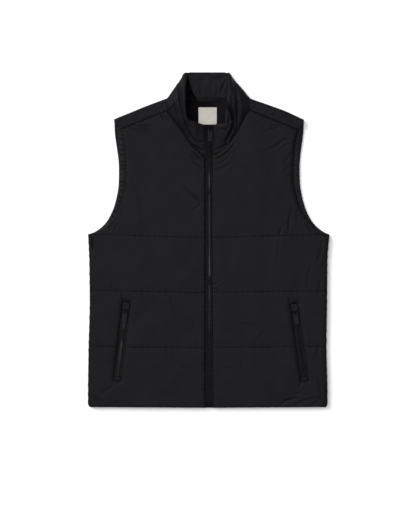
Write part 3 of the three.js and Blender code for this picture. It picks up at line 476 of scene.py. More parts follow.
# Creases: those by the neck and zip first, then from the shoulders to the hem.
FRONT_CREASES = [
    (2.2, 1.7, (-41, 216), (-27, 208), (-9, 195)),
    (1.9, 1.7, (-39, 204), (-27, 192), (-12, 179)),
    (2.4, 1.6, (-39, 185), (-28, 173), (-10, 160)),
    (1.2, 1.6, (-44, 196), (-34, 186), (-22, 172)),
    (1.8, 1.6, (-60, 125), (-42, 107), (-28, 97), (-11, 84)),
    (1.3, 1.5, (-41, 63), (-16, 82)),
    (1.2, 1.7, (-20, 66), (-15, 52), (-9, 42)),
    (1.1, 1.7, (-26, 153), (-9, 158)),
    (1.3, 1.7, (-17, 112), (-9, 98)),
    (1.8, 2.2, (-109, 288), (-100, 272)),
    (1, 2.4, (-102, 286), (-87, 270)),
    (1.7, 2.8, (-173, 262), (-152, 259), (-130, 258)),
    (1.4, 2.8, (-180, 259), (-164, 253), (-143, 248), (-127, 243)),
    (-0.8, 5.5, (-184, 138), (-168, 108), (-161, 70)),
    (-0.6, 5, (-162, 78), (-160, 36)),
    (0.8, 3.6, (-196, 96), (-194, 46)),
    (1, 2.6, (-216, 42), (-228, 18)),
    (0.8, 2.6, (-208, 38), (-218, 12)),
    (2.4, 2, (-265, 14), (-263, -30)),
    (0.9, 2.4, (-222, -98), (-219, -116)),
    (1.5, 2.2, (-198, -121), (-195, -140)),
    (1, 2.4, (-180, -122), (-171, -140)),
    (0.8, 2.4, (-176, -145), (-166, -157)),
    (0.8, 2.2, (-152, -122), (-148, -135)),
    (0.7, 2.4, (-127, -132), (-122, -148)),
    (1.1, 3, (-88, -119), (-82, -150), (-71, -182)),
    (0.7, 3.4, (-73, -175), (-58, -200)),
    (1, 6.5, (-96, -182), (-78, -204), (-56, -238)),
    (0.7, 6, (-55, -50), (-34, -70), (-12, -108)),
    (0.5, 3, (-220, -190), (-216, -220)),
    (1.4, 2.2, (-263, -355), (-250, -374)),
    (1, 2.4, (-250, -361), (-239, -375)),
    (0.8, 4, (-248, -354), (-212, -330)),
    (0.7, 2.4, (-211, -365), (-203, -377)),
    (2.6, 1.7, (9, 182), (34, 194), (62, 222)),
    (1.1, 2, (10, 168), (30, 176), (50, 192)),
    (0.8, 3.4, (9, 155), (34, 164), (57, 180)),
    (0.6, 2.2, (10, 103), (27, 100)),
    (1.7, 2.4, (138, 258), (151, 261), (174, 262)),
    (1.7, 2.6, (123, 247), (151, 254), (180, 261)),
    (0.7, 3.2, (98, 263), (122, 270)),
    (1.3, 3.4, (123, 202), (151, 212), (170, 226), (193, 230)),
    (0.8, 2.8, (157, 205), (189, 221)),
    (0.8, 3.8, (170, 174), (192, 199)),
    (0.6, 4, (166, 152), (192, 171)),
    (1.3, 2.8, (190, 76), (184, 40), (182, 8)),
    (0.9, 2.8, (168, 32), (160, 8)),
    (0.8, 2.8, (200, 72), (204, 31)),
    (1.5, 2.8, (221, 41), (236, 15)),
    (0.4, 3.2, (161, 6), (158, -34), (150, -74)),
    (0.7, 3, (260, 2), (254, -30), (244, -58)),
    (0.6, 3, (234, -50), (228, -80), (225, -112)),
    (0.7, 3.2, (256, -82), (250, -134)),
    (0.6, 2.4, (14, -103), (28, -90)),
    (0.9, 2, (10, -111), (20, -114), (32, -118)),
    (0.6, 1.8, (45, -184), (85, -192), (130, -203)),
    (0.5, 2.6, (130, -206), (111, -230)),
    (1.5, 2.2, (182, -124), (186, -144)),
    (0.9, 2.4, (200, -138), (213, -150)),
    (0.9, 2.2, (212, -327), (204, -336)),
    (0.7, 3.2, (251, -234), (247, -270)),
    (1.5, 2.6, (250, -316), (254, -342), (260, -366)),
    (1.4, 2.6, (160, -381), (176, -367), (203, -359)),
    (1.2, 2.6, (190, -382), (218, -366), (256, -359)),
    (1.1, 2.4, (230, -380), (258, -361)),
    (0.8, 2.6, (194, -350), (212, -349)),
    (0.7, 3.4, (20, -287), (56, -295)),
    (0.7, 4.5, (-88, -256), (-72, -282), (-52, -298)),
]
# How far each side edge slopes down to its seam.
LIFTED_SIDE = {"right": 2, "left": 0.5}
# How deep the quilting seams pull in.
QUILT_DEPTH = {"right": 0.28, "left": 0.4}
# How strongly each zip edge is gathered.
ZIP_GATHERS = {"right": 1, "left": 0.25}
# Shares of the way up a quilting chamber, up the zip above the top line, and along the neck.
CHAMBER_STEPS = steps(126, 1.9)[:-1]
CHEST_STEPS = steps(185, 2)
NECK_STEPS = steps(132, 1.9)[1:]
# Share of the armhole that lies beside the zip, the rest beside the neck.
ARMHOLE_SPLIT = 0.62
# Lengths of a front's zip and neck edge, and of its side and armhole edge.
INNER_LENGTH = 640
OUTER_LENGTH = 900


def pocket_frame(side):
    """Top end of a pocket's middle line, its length, and how far it is turned."""
    (top_x, top_y), (end_x, end_y) = POCKETS[side]
    length = math.hypot(end_x - top_x, end_y - top_y)
    return (top_x, top_y), length, math.asin((end_x - top_x) / length)


def from_slot(side, x, y):
    """Distance outside a pocket's slot."""
    (top_x, top_y), length, turn = pocket_frame(side)
    dx, dy = x - top_x, y - top_y
    across = math.cos(turn) * dx + math.sin(turn) * dy
    along = -math.sin(turn) * dx + math.cos(turn) * dy
    out_x = np.maximum(np.abs(across) - POCKET_WIDTH / 2, 0)
    out_y = np.maximum(np.abs(along + length / 2) - length / 2, 0)
    return np.hypot(out_x, out_y)


def front_edges(side):
    """Both ends of each row of a front, from the hem to the shoulder seam."""
    inner_ends, outer_ends = [], []
    for (low_zip, low_side), (high_zip, high_side) in zip(QUILT[side], QUILT[side][1:]):
        zip_y, side_y = mix(low_zip, high_zip, CHAMBER_STEPS), mix(low_side, high_side, CHAMBER_STEPS)
        inner_ends.append(np.stack([np.abs(read(ZIP, "y", side, zip_y)), zip_y], -1))
        outer_ends.append(np.stack([side_edge(side, side_y), side_y], -1))
    zip_y = mix(QUILT[side][-1][0], FRONT_NECK[side][0][1], CHEST_STEPS)
    edge = np.stack([np.abs(read(ZIP, "y", side, zip_y)), zip_y], -1)
    edge[-1] = FRONT_NECK[side][0]
    inner_ends += [edge, curve(FRONT_NECK[side], NECK_STEPS)]
    outer_ends += [armhole(FRONT_ARMHOLE, side, ARMHOLE_SPLIT * CHEST_STEPS)]
    outer_ends += [armhole(FRONT_ARMHOLE, side, mix(ARMHOLE_SPLIT, 1, NECK_STEPS))]
    return np.concatenate(inner_ends), np.concatenate(outer_ends)


def front_grid(side):
    """Top face of a front: padding between its seams, with gathers and creases."""
    sign = SIDES[side]
    inner_end, outer_end = front_edges(side)
    width = np.linalg.norm(outer_end - inner_end, axis=-1)[:, None]
    close = np.array([0.4, 0.9, 1.6, 2.6, 4, 6, 8.5]) / width
    middle = close[:, -1:] + (1 - 2 * close[:, -1:]) * np.linspace(0, 1, 132)[1:-1]
    zero = np.zeros_like(width)
    across = np.hstack([zero, close, middle, 1 - close[:, ::-1], zero + 1])
    x, y = (mix(inner_end[:, axis, None], outer_end[:, axis, None], across) for axis in (0, 1))
    from_inner, along_inner = from_path(x, y, inner_end[::3])
    from_outer, along_outer = from_path(x, y, outer_end[::3])
    from_shoulder = from_path(x, y, shoulder_seam(side, np.linspace(0, 1, 3)))[0]
    from_hem = y - mix(*QUILT[side][0], across)
    from_line = np.min([np.abs(y - mix(*line, across)) for line in QUILT[side][1:]], axis=0)
    slot = from_slot(side, sign * x, y)
    neck_start = along_inner[-len(NECK_STEPS) - 1, 0]
    beside_zip = smooth(neck_start - along_inner, 0, 0.03)
    swell = mix(rise(from_inner, 6), 0.65 + 0.35 * rise(from_inner, 8), beside_zip)
    swell *= rise(from_outer, 9) * rise(from_hem, 6) * rise(from_shoulder, 7)
    seed = 100 if side == "right" else 200
    z = EDGE_THICK + (FRONT_LOFT - EDGE_THICK) * swell
    z += swell * rise(from_line, 30) * (0.45 * waves(x, y, 95, seed) + 0.2 * waves(x, y, 38, seed + 1))
    z -= 0.6 * (1 - rise(from_line, 16))
    z *= 1 - 0.47 * (1 - rise(slot, 12))
    z -= creased(sign * x, y, FRONT_CREASES) * smooth(z, 3, 6)
    z += 0.3 * puckers(x, from_line, 14, 9, seed + 2)
    notch = gathers(INNER_LENGTH * along_inner, 11, 1.7, seed + 3) * np.exp(-((from_inner / 4) ** 2))
    notch *= ZIP_GATHERS[side] * beside_zip
    z += 0.4 * puckers(INNER_LENGTH * along_inner, from_inner, 9.5, 6, seed + 3) - 0.9 * notch
    z += 0.4 * puckers(OUTER_LENGTH * along_outer, from_outer, 11, 9, seed + 4)
    z += 0.3 * puckers(x, from_shoulder, 10, 7, seed + 5)
    z -= (QUILT_DEPTH[side] + 0.15 * waves(x, 0, 60, seed + 7)) * np.exp(-((from_line / 1.2) ** 2))
    z -= LIFTED_SIDE[side] * (1 - smooth(from_outer, 0, 8)) * (y < QUILT_TOP_Y)
    edge = np.minimum(np.minimum(from_outer, from_hem), from_shoulder + 1.1)
    z = np.maximum(z, 2) * (0.3 + 0.7 * rise(edge, 1.6))
    z *= 1 - 0.25 * beside_zip * (1 - rise(from_inner, 1.6))
    scallop = 1.5 * notch - 0.5 * puckers(OUTER_LENGTH * along_outer, from_outer, 26, 8, seed + 6)
    return np.stack([sign * (x + scallop), y, FRONT_UNDER + z], -1)


def add_panel(name, top, under_z, material):
    """Closed panel below a grid of points, with a flat underside."""
    rows, columns = top.shape[:2]
    at = np.arange(rows * columns).reshape(rows, columns)
    other = rows * columns
    faces = cells(at).reshape(-1, 4).tolist()
    rim = np.r_[at[0], at[1:, -1], at[-1, -2::-1], at[-2:0:-1, 0]]
    after = np.roll(rim, -1)
    faces += np.stack([after, rim, rim + other, after + other], -1).tolist()
    ladder = at[1:-1][:, [0, -1]] + other
    faces += np.stack([ladder[1:, 0], ladder[1:, 1], ladder[:-1, 1], ladder[:-1, 0]], -1).tolist()
    faces.append(np.r_[ladder[0], at[0, ::-1] + other].tolist())
    faces.append(np.r_[ladder[-1, ::-1], at[-1] + other].tolist())
    under = top.copy()
    under[..., 2] = under_z
    return add_mesh(name, np.concatenate([top.reshape(-1, 3), under.reshape(-1, 3)]), faces, material)


def at_pocket(side, points):
    """Points from a pocket's own frame, whose origin is its top end, to the vest's."""
    origin, _, turn = pocket_frame(side)
    points = np.asarray(points, float)
    x = origin[0] + math.cos(turn) * points[..., 0] - math.sin(turn) * points[..., 1]
    y = origin[1] + math.sin(turn) * points[..., 0] + math.cos(turn) * points[..., 1]
    return np.stack([x, y, points[..., 2]], -1)


def rounded_outline(x0, x1, y0, y1, radius, count=5):
    """Corner points of a rectangle with rounded corners, anticlockwise."""
    left, right, low, high = x0 + radius, x1 - radius, y0 + radius, y1 - radius
    corners = [(right, high), (left, high), (left, low), (right, low)]
    points = []
    for quarter, (x, y) in enumerate(corners):
        for turn in np.linspace(quarter, quarter + 1, count) * math.pi / 2:
            points.append((x + radius * math.cos(turn), y + radius * math.sin(turn)))
    return np.array(points)


def apply_modifiers(piece):
    """Turns a piece with modifiers to a plain mesh."""
    depsgraph = bpy.context.evaluated_depsgraph_get()
    data = bpy.data.meshes.new_from_object(piece.evaluated_get(depsgraph), depsgraph=depsgraph)
    piece.modifiers.clear()
    piece.data = data
    return piece


def cut_slot(panel, side):
    """Cuts a pocket's slot down to its floor."""
    _, length, _ = pocket_frame(side)
    outline = rounded_outline(-POCKET_WIDTH / 2, POCKET_WIDTH / 2, -length, 0, 2)
    count = len(outline)
    levels = [at_pocket(side, np.column_stack([outline, np.full(count, z)])) for z in (POCKET_FLOOR, 40)]
    ring = np.arange(count)
    after = np.roll(ring, -1)
    faces = np.stack([ring, after, after + count, ring + count], -1).tolist()
    faces += [ring[::-1].tolist(), (ring + count).tolist()]
    cutter = add_mesh("slot_cutter", np.concatenate(levels), faces, shell)
    cut = panel.modifiers.new("slot", "BOOLEAN")
    cut.object, cut.operation, cut.solver = cutter, "DIFFERENCE", "EXACT"
    apply_modifiers(panel)
    bpy.data.objects.remove(cutter)
    return panel


fronts = {}
for side in SIDES:
    front = add_panel(f"vest_front_{side}", front_grid(side), FRONT_UNDER, shell)
    fronts[side] = cut_slot(front, side)
    attach(front, "shell", f"front_{side}")

# Armhole facings
# A gathered strip of smoother black cloth that binds the back panel's armhole edge.
# It shows between that edge and the front's armhole.
FACING_WIDTH = 20
FACING_UNDER = 4.05
FACING_ENDS = (31, 255)
# How far each facing sinks beside its front's edge.
SHADOW_GAP = {"right": 0, "left": 1.9}
facing_cloth = woven("facing_cloth", grey(0.0048), grey(0.006), rough=0.5, shine=0.09, thread=0.4)
for side, sign in SIDES.items():
    y = mix(*FACING_ENDS, np.linspace(0, 1, 331) ** 1.08)[:, None]
    half_width = read(BACK_ARMHOLE, "y", side, y)
    slope = (read(BACK_ARMHOLE, "y", side, y + 1) - read(BACK_ARMHOLE, "y", side, y - 1)) / 2
    length = np.hypot(1, slope)
    along = np.cumsum(np.r_[0, np.hypot(np.diff(half_width[:, 0]), np.diff(y[:, 0]))])[:, None]
    distance = np.array([0.3, 0.5, 1.2, 2.2, 3.4, 4.6, 6, 7.5, 9, 10.5, 12, 14, 17, FACING_WIDTH])[None]
    x, height = half_width - distance / length, y + slope * distance / length
    seed = 60 if side == "right" else 70
    dip = gathers(along + 0.2 * distance, 11.5, 1.5, seed) * (0.3 + 0.7 * smooth(distance, 1, 8))
    dip += 0.35 * gathers(along - 0.3 * distance, 7.3, 1.1, seed + 2)
    to_front = (half_width - read(FRONT_ARMHOLE, "y", side, y)) / length
    fullness = 0.3 + 0.7 * smooth(to_front, 2, 7)
    hump = fullness * np.sin(math.pi * np.clip((distance - 0.2) / 15, 0, 1)) ** 0.3
    z = FACING_UNDER + 0.4 + 0.5 * rise(distance - 0.3, 1.5) + hump * (2.2 - 1.9 * np.minimum(dip, 1))
    z = np.where(distance > 11, np.minimum(z, 6.6), z)
    z -= SHADOW_GAP[side] * np.exp(-(((distance - to_front + 0.6) / 1.1) ** 2)) * smooth(to_front, 2, 6)
    z = np.maximum(z, FACING_UNDER + 0.2)
    upper = np.stack(np.broadcast_arrays(sign * x, height, z), -1)
    lower = upper.copy()
    lower[..., 2] = FACING_UNDER
    facing = add_wall(f"facing_{side}", upper, lower, facing_cloth)
    attach(facing, "facing", f"armhole_facing_{side}")

# Inside the neck
# A thin black lining lies on the back panel, with a bare cream label and a hang loop sewn on it.
LINING = dict(x0=-55, x1=50, y0=254, y1=322.4, under=GAP, thick=1)
LABEL = dict(x0=-23, x1=18.7, y0=263.4, y1=302.6, under=GAP + 1 + GAP, thick=0.6)
FAR = 100


def sheet_grid(x0, x1, y0, y1, spacing, near):
    """Grid of points on a rectangle, and how far each is from its edge."""
    x, y = np.meshgrid(*[mix(a, b, steps(b - a, spacing, near)) for a, b in ((x0, x1), (y0, y1))])
    return x, y, np.minimum(np.minimum(x - x0, x1 - x), np.minimum(y - y0, y1 - y))


def add_neck_sheet(name, material, x0, x1, y0, y1, under, thick, wave=0.0, seed=1):
    """Sheet lying on the back panel inside the neck."""
    x, y, edge = sheet_grid(x0, x1, y0, y1, 2.2, (0.3, 0.8))
    low = back_inner_z(FAR, BACK_NECK_Y - y) + under
    lift = wave * (0.6 + 0.4 * waves(x, y, 26, seed))
    high = low + thick * (0.5 + 0.5 * rise(edge, 0.8)) + lift
    low = low + np.maximum(lift - 0.1, 0)
    return add_wall(name, np.stack([x, y, high], -1), np.stack([x, y, low], -1), material)


def vary_along(material, axis, rows):
    """Multiplies a material's colour by values at places along an axis."""
    tree = material.node_tree
    target = tree.nodes["Principled BSDF"].inputs["Base Color"]
    split = node(tree, "ShaderNodeSeparateXYZ", {0: node(tree, "ShaderNodeTexCoord").outputs["Object"]})
    first, last = rows[0][0], rows[-1][0]
    share = node(tree, "ShaderNodeMapRange", {
        "Value": split.outputs[axis], "From Min": first * MM, "From Max": last * MM})
    ramp = node(tree, "ShaderNodeValToRGB", {"Fac": share})
    highest = max(value for _, value in rows)
    elements = ramp.color_ramp.elements
    for place, value in rows:
        position = (place - first) / (last - first)
        element = {0: elements[0], 1: elements[-1]}.get(position) or elements.new(position)
        element.position = position
        element.color = (*[value / highest] * 3, 1)
    given = target.links[0].from_socket
    scaled = node(tree, "ShaderNodeVectorMath", {0: given, 1: ramp}, operation="MULTIPLY")
    raised = node(tree, "ShaderNodeVectorMath", {0: scaled, "Scale": highest}, operation="SCALE")
    tree.links.new(raised.outputs[0], target)


lining_cloth_painted_shade = woven("lining_cloth_painted_shade", grey(0.0036), grey(0.0052), rough=0.7, shine=0.03, thread=0.6)
# Painted shadow: the lining's colour darkens towards the left, where the collar's rolled side would shade it.
vary_along(lining_cloth_painted_shade, "X", [(-55, 0.05), (-20, 0.25), (5, 0.7), (28, 1), (50, 1)])
lining = add_neck_sheet("lining", lining_cloth_painted_shade, **LINING)
attach(lining, "lining", "neck_lining")

label_cloth = woven("label_cloth", (0.36, 0.35, 0.32), (0.42, 0.41, 0.375), rough=0.75, shine=0.1,
                    thread=0.55, depth=0.12)
label = add_neck_sheet("label", label_cloth, wave=0.5, seed=9, **LABEL)
attach(label, "label", "neck_label")

webbing = woven("webbing", (0.0025, 0.0032, 0.0034), (0.004, 0.0049, 0.0051), rough=0.6, shine=0.05,
                thread=1.9, depth=0.4)


def add_bar(name, sections, material):
    """Closed bar through matching sections of points."""
    sections = np.asarray(sections, float)
    rows, count = sections.shape[:2]
    at = np.arange(rows * count).reshape(rows, count)
    faces = cells(np.c_[at, at[:, :1]]).reshape(-1, 4).tolist()
    faces += [at[0, ::-1].tolist(), at[-1].tolist()]
    return add_mesh(name, sections.reshape(-1, 3), faces, material)


loop_sections = []
for share in np.linspace(0, 1, 49):
    bow = math.sin(math.pi * share)
    x, y = mix(-26, 25, share), 320.8 - 1.3 * bow
    z = back_inner_z(FAR, BACK_NECK_Y - y) + LABEL["under"] + LABEL["thick"] + 1.4 * bow
    turn = np.linspace(0, 2 * math.pi, 12, endpoint=False)
    flat = np.sign(np.cos(turn)) * np.abs(np.cos(turn)) ** 0.5
    tall = np.sign(np.sin(turn)) * np.abs(np.sin(turn)) ** 0.8
    loop_sections.append(np.stack([np.full(12, x), y + 4.6 * flat, z + 0.6 + 0.6 * tall], -1))
loop = add_bar("loop", loop_sections, webbing)
attach(loop, "lining", "hang_loop")

# Collar
# A padded stand collar of the shell nylon, sewn round the neck. It stands up at the front,
# rolls outwards at the sides and lies flat against the ground at the back.
COLLAR_THICK = 5
COLLAR_SEAM_THICK = 3.4
# Top edge of its outer face; along runs from the zip (0) to the middle back (1).
COLLAR_EDGE = {
    "right": table(
        "along x y z",
        (0, 7.6, 261, 19), (0.14, 24, 267, 22), (0.27, 43, 274, 26), (0.36, 50.6, 288, 28),
        (0.45, 51, 318, 28), (0.53, 51.3, 347, 25), (0.585, 51.2, 370, 19), (0.612, 52.2, 383.2, 9),
        (0.64, 49, 383.4, 1.5), (0.66, 44, 383.4, 0), (1, 0, 383.4, 0),
    ),
    "left": table(
        "along x y z",
        (0, 10.9, 261.5, 19), (0.14, 22, 264.5, 22), (0.25, 35, 266, 26), (0.35, 36.5, 283, 28),
        (0.45, 40, 315, 28), (0.53, 43, 345, 25), (0.585, 44, 370, 19), (0.612, 44.5, 383.2, 9),
        (0.64, 41, 383.4, 1.5), (0.66, 37, 383.4, 0), (1, 0, 383.4, 0),
    ),
}
# Folds of its outer face in plan, the deepest where it turns in beside the left of the zip.
COLLAR_CREASES = [
    (3.2, 3.2, (-66, 380), (-65, 336), (-62, 304), (-58, 280), (-52, 256)),
    (3.4, 2.4, (-60, 296), (-56, 272), (-49, 251), (-38, 231), (-27, 224), (-16, 223), (-4, 225)),
    (2.2, 2.2, (-41, 217), (-26, 209), (-8, 203)),
    (1, 3.5, (-84, 322), (-80, 300), (-72, 276)),
    (9.5, 3, (38, 314), (48, 300), (55, 286), (57, 268), (54, 252), (47, 238), (38, 222)),
    (3.6, 4, (58, 378), (62, 346), (66, 317), (67, 291), (64, 265), (58, 241), (48, 222)),
    (2.2, 2.2, (8, 195), (31, 200), (54, 219), (72, 240)),
    (1.4, 2.2, (10, 204), (28, 209), (44, 222)),
    (1.3, 2.6, (36, 262), (46, 268), (55, 276)),
    (1, 3, (22, 252), (36, 248), (46, 240)),
]
# Folds of the part that shows behind the neck.
NAPE_CREASES = [
    (1.2, 3, (-18, 353), (-17, 340), (-16, 326)),
    (1.2, 2.8, (17, 360), (21, 347), (17, 326)),
    (1.5, 2.4, (10, 370), (24, 371), (42, 373)),
    (1.3, 2.8, (42, 368), (33, 350), (24, 328)),
]
# It sinks in on the left of this line, beside the rolled side, and its faces there take the dark lining cloth
# as painted shadow.
NAPE_HOLLOW = table(
    "y x",
    (316, -26), (323, -29), (338, -37.5), (358, -44.5), (377, -50), (384, -55),
)


def neck_ring(count):
    """Line of the neck seam, from the right front's zip edge round the back to the left one's."""
    parts = []
    for side, sign in SIDES.items():
        share = np.linspace(0, 1, 40)
        height = FRONT_UNDER + 3.9 + 0.4 * share
        front_part = np.column_stack([curve(FRONT_NECK[side], share) * (sign, 1), height])
        column = int(np.argmin(np.abs(spread - sign * NECK_SHARE)))
        over_shoulder = outer[flat_rows - 1:, column][::-1][1:]
        parts.append([front_part, over_shoulder])
    first, last = (int(np.argmin(np.abs(spread - sign * NECK_SHARE))) for sign in (-1, 1))
    across_back = outer[flat_rows - 1, first + 1:last]
    line = np.concatenate([*parts[0], across_back, parts[1][1][::-1], parts[1][0][::-1]])
    length = np.r_[0, np.cumsum(np.linalg.norm(np.diff(line, axis=0), axis=1))]
    middle = np.interp(0, line[:, 0][length > 0.3 * length[-1]], length[length > 0.3 * length[-1]])
    at = np.r_[np.linspace(0, middle, count), np.linspace(middle, length[-1], count)[1:]]
    along = np.where(at <= middle, at / middle, (length[-1] - at) / (length[-1] - middle))
    return np.stack([np.interp(at, length, axis) for axis in line.T], -1), along, at > middle, at


ring, along, is_left, ring_at = neck_ring(230)
left_edge, right_edge = (
    np.stack([read(COLLAR_EDGE[s], "along", axis, along) for axis in "xyz"], -1) * (SIDES[s], 1, 1)
    for s in ("left", "right"))
edge_line = np.where(is_left[:, None], left_edge, right_edge)
height = np.linalg.norm(edge_line - ring, axis=-1)[:, None]
up = np.linspace(0, 1, 53)
start = 2 * GAP / height
share = mix(start, 1, up[None])
face = mix(ring[:, None], edge_line[:, None], share[..., None])
roll = 5 * (1 - smooth(along, 0.5, 0.6)) * smooth(along, 0, 0.15)
face[..., 2] += roll[:, None] * np.sin(math.pi * share)
face[..., 0] += 4.6 * np.sin(math.pi * share) * (np.clip(1 - along / 0.12, 0, 1) * is_left)[:, None]
around = np.gradient(face, axis=0)
upward = np.gradient(face, axis=1)
inward = np.cross(around, upward)
inward /= np.linalg.norm(inward, axis=-1, keepdims=True)
from_edge, from_ring = (1 - up)[None] * height, height * up[None]
thick = mix(COLLAR_SEAM_THICK, COLLAR_THICK, rise(from_ring, 12))
edge_round = 2.2 * (1 - rise(from_edge, 3.2))
rolled = (along < 0.62)[:, None]
fold = creased(face[..., 0], face[..., 1], COLLAR_CREASES) * smooth(along, 0, 0.03)[:, None] * rolled
ring_length = ring_at[:, None] + 0 * from_ring
swell = 0.5 * waves(ring_length, from_ring, 40, 51) * np.minimum(rise(from_ring, 14), rise(from_edge, 8))
swell += 0.4 * puckers(ring_length, from_ring, 9, 6, 53)
swell *= (face[..., 2] > 2)
bulge = 1.6 * np.sin(math.pi * np.clip(from_edge / 15, 0, 1)) * smooth(along, 0.03, 0.2)[:, None] * rolled
turned_in = 2 * ((1 - smooth(along, 0, 0.035)) * ~is_left)[:, None]
outer_face = face + inward * (edge_round + fold + turned_in - swell - bulge)[..., None]
nape = smooth(along, 0.6, 0.64)[:, None]
plump = 2.6 * rise(from_edge, 5) * (1 - rise(from_edge - 4, 14)) * (1 - nape)
plump += nape * (0.35 * waves(ring_length, from_ring, 34, 57) * rise(from_edge, 6) * rise(from_ring, 6))
inner_face = face + inward * (thick - edge_round + 0.65 * fold + plump)[..., None]
hollow_end = read(NAPE_HOLLOW, "y", "x", inner_face[..., 1])
hollow = nape * smooth(hollow_end - inner_face[..., 0], -1.5, 1.5)
folds = nape * creased(inner_face[..., 0], inner_face[..., 1], NAPE_CREASES) + 5 * hollow
lowest = np.minimum(inner_face[..., 2], outer_face[..., 2] + 0.8)
inner_face[..., 2] = np.maximum(inner_face[..., 2] - folds, lowest)
collar = add_wall("vest_collar", outer_face, inner_face, shell)
# Painted shadow: faces in the hollow get the dark lining cloth instead of the shell.
collar.data.materials.append(lining_cloth_painted_shade)
hollow_painted_shade = np.r_[np.zeros(hollow.size, bool), (hollow > 0.5).ravel()]
for polygon in collar.data.polygons:
    polygon.material_index = int(hollow_painted_shade[list(polygon.vertices)].any())
attach(collar, "shell", "collar")

# Front zip
# A coil zip: two woven tapes, two nylon coils meshed down the middle, a foot box,
# and a slider with a dark painted pull. The slider stays at the top of its travel.
TAPE_THICK = 1
CHAIN_HALF = 2.8
SLIDER_Y = 250
CHAIN_TOP_Y = SLIDER_Y - 5.5 - GAP
CHAIN_FOOT_Y = -372
TAPE_ENDS = (-380.5, 259.5)
tape_cloth = woven("tape_cloth", (0.0046, 0.0046, 0.0049), (0.0066, 0.0066, 0.0072), rough=0.65, shine=0.05,
                   thread=0.7, depth=0.16)
# Painted shade: the tapes darken towards the top, where the collar and slider would shade them.
TAPE_PAINTED_SHADE = [(-381, 1), (178, 1), (196, 0.7), (215, 0.5), (230, 0.35), (262, 0.3)]
vary_along(tape_cloth, "Y", TAPE_PAINTED_SHADE)
for side, sign in SIDES.items():
    sections = []
    for y in np.linspace(*TAPE_ENDS, 161):
        near = read(ZIP, "y", "centre", y) + sign * (CHAIN_HALF + GAP)
        far = read(ZIP, "y", side, y) - sign * GAP
        z = read(ZIP, "y", "base", y)
        ridge = 0.18 * math.sin(y / 2.1)
        sections.append([(near, y, z), (far, y, z), (far, y, z + 0.7), (mix(near, far, 0.85), y, z + 1),
                         (mix(near, far, 0.45), y, z + 0.95 + ridge * 0.3), (near, y, z + 0.8)])
    tape = add_bar(f"tape_{side}", sections, tape_cloth)
    attach(tape, "zip_tape", f"zip_tape_{side}")


def polymer(name, low, high, rough, shine):
    """Moulded or painted hard surface with fine wear and an uneven gloss."""
    material, tree, shader, place = new_material(name)
    patches, fine = noise(tree, place, 45, 3), noise(tree, place, 1400, 3)
    dullness = {
        "Value": patches, "From Min": 0.3, "From Max": 0.7, "To Min": rough - 0.08, "To Max": rough + 0.1}
    wear = {"Height": fine, "Distance": 0.02 * MM, "Strength": 0.5}
    fill(shader, {
        "Base Color": shade_ramp(tree, patches, low, high), "Specular IOR Level": shine,
        "Roughness": node(tree, "ShaderNodeMapRange", dullness),
        "Normal": node(tree, "ShaderNodeBump", wear)})
    return material


# Painted highlights: the coil's colour is made brighter along its length where it would catch the light, and
# darker where it would not.
COIL_PAINTED_HIGHLIGHTS = {
    "front": [(-381, 1), (-330, 0.7), (-212, 1), (-196, 3.2), (-140, 2.6), (-130, 5), (-108, 4), (-98, 1),
              (-86, 1.2), (-78, 8), (-42, 8), (-32, 4.4), (0, 3.6), (60, 4.6), (98, 4.2), (106, 1),
              (114, 1.4), (124, 6.5), (146, 6), (158, 0.9), (180, 0.9), (194, 0.5), (250, 0.5)],
    "right": [(-320, 3), (-306, 4), (-290, 3.2), (-276, 5), (-262, 7), (-232, 8), (-226, 2), (-204, 1.6),
              (-199, 7), (-186, 7), (-180, 1)],
    "left": [(-322, 0.8), (-250, 0.5), (-180, 0.8)],
}
coil_nylon_painted_highlights = {}
for name, rows in COIL_PAINTED_HIGHLIGHTS.items():
    nylon = polymer(f"coil_nylon_painted_highlights_{name}", (0.0034, 0.0038, 0.0037), (0.005, 0.0056, 0.0054), 0.36, shine=0.1)
    vary_along(nylon, "Y", rows)
    coil_nylon_painted_highlights[name] = nylon
# Painted highlight: the front zip's right-hand coil is drawn brighter than its left one.
vary_along(coil_nylon_painted_highlights["front"], "X", [(-4, 0.6), (0.7, 0.6), (1.3, 2.1), (5, 2.1)])
pull_metal = polymer("pull_metal", grey(0.0042), grey(0.006), 0.45, shine=0.075)
slider_paint = polymer("slider_paint", grey(0.0006), grey(0.0014), 0.4, shine=0.03)


def bead(name, material, axis, rings, wide, tall):
    """Small rounded bar along an axis, from the place and size of each of its rings."""
    turn = np.linspace(0, 2 * math.pi, 6, endpoint=False)
    ring = np.stack([wide * np.cos(turn), tall * np.sin(turn)], -1)
    return add_bar(name, [np.insert(size * ring, axis, place, axis=-1) for place, size in rings], material)


# One loop of a coil lies across the zip and is about 2.5 mm long.
TOOTH_RINGS = ((-1.25, 0.55), (-0.9, 0.95), (0, 1), (0.9, 1.1), (1.25, 0.7))
TOOTH = {"axis": 0, "rings": TOOTH_RINGS, "wide": 0.42, "tall": 0.5}


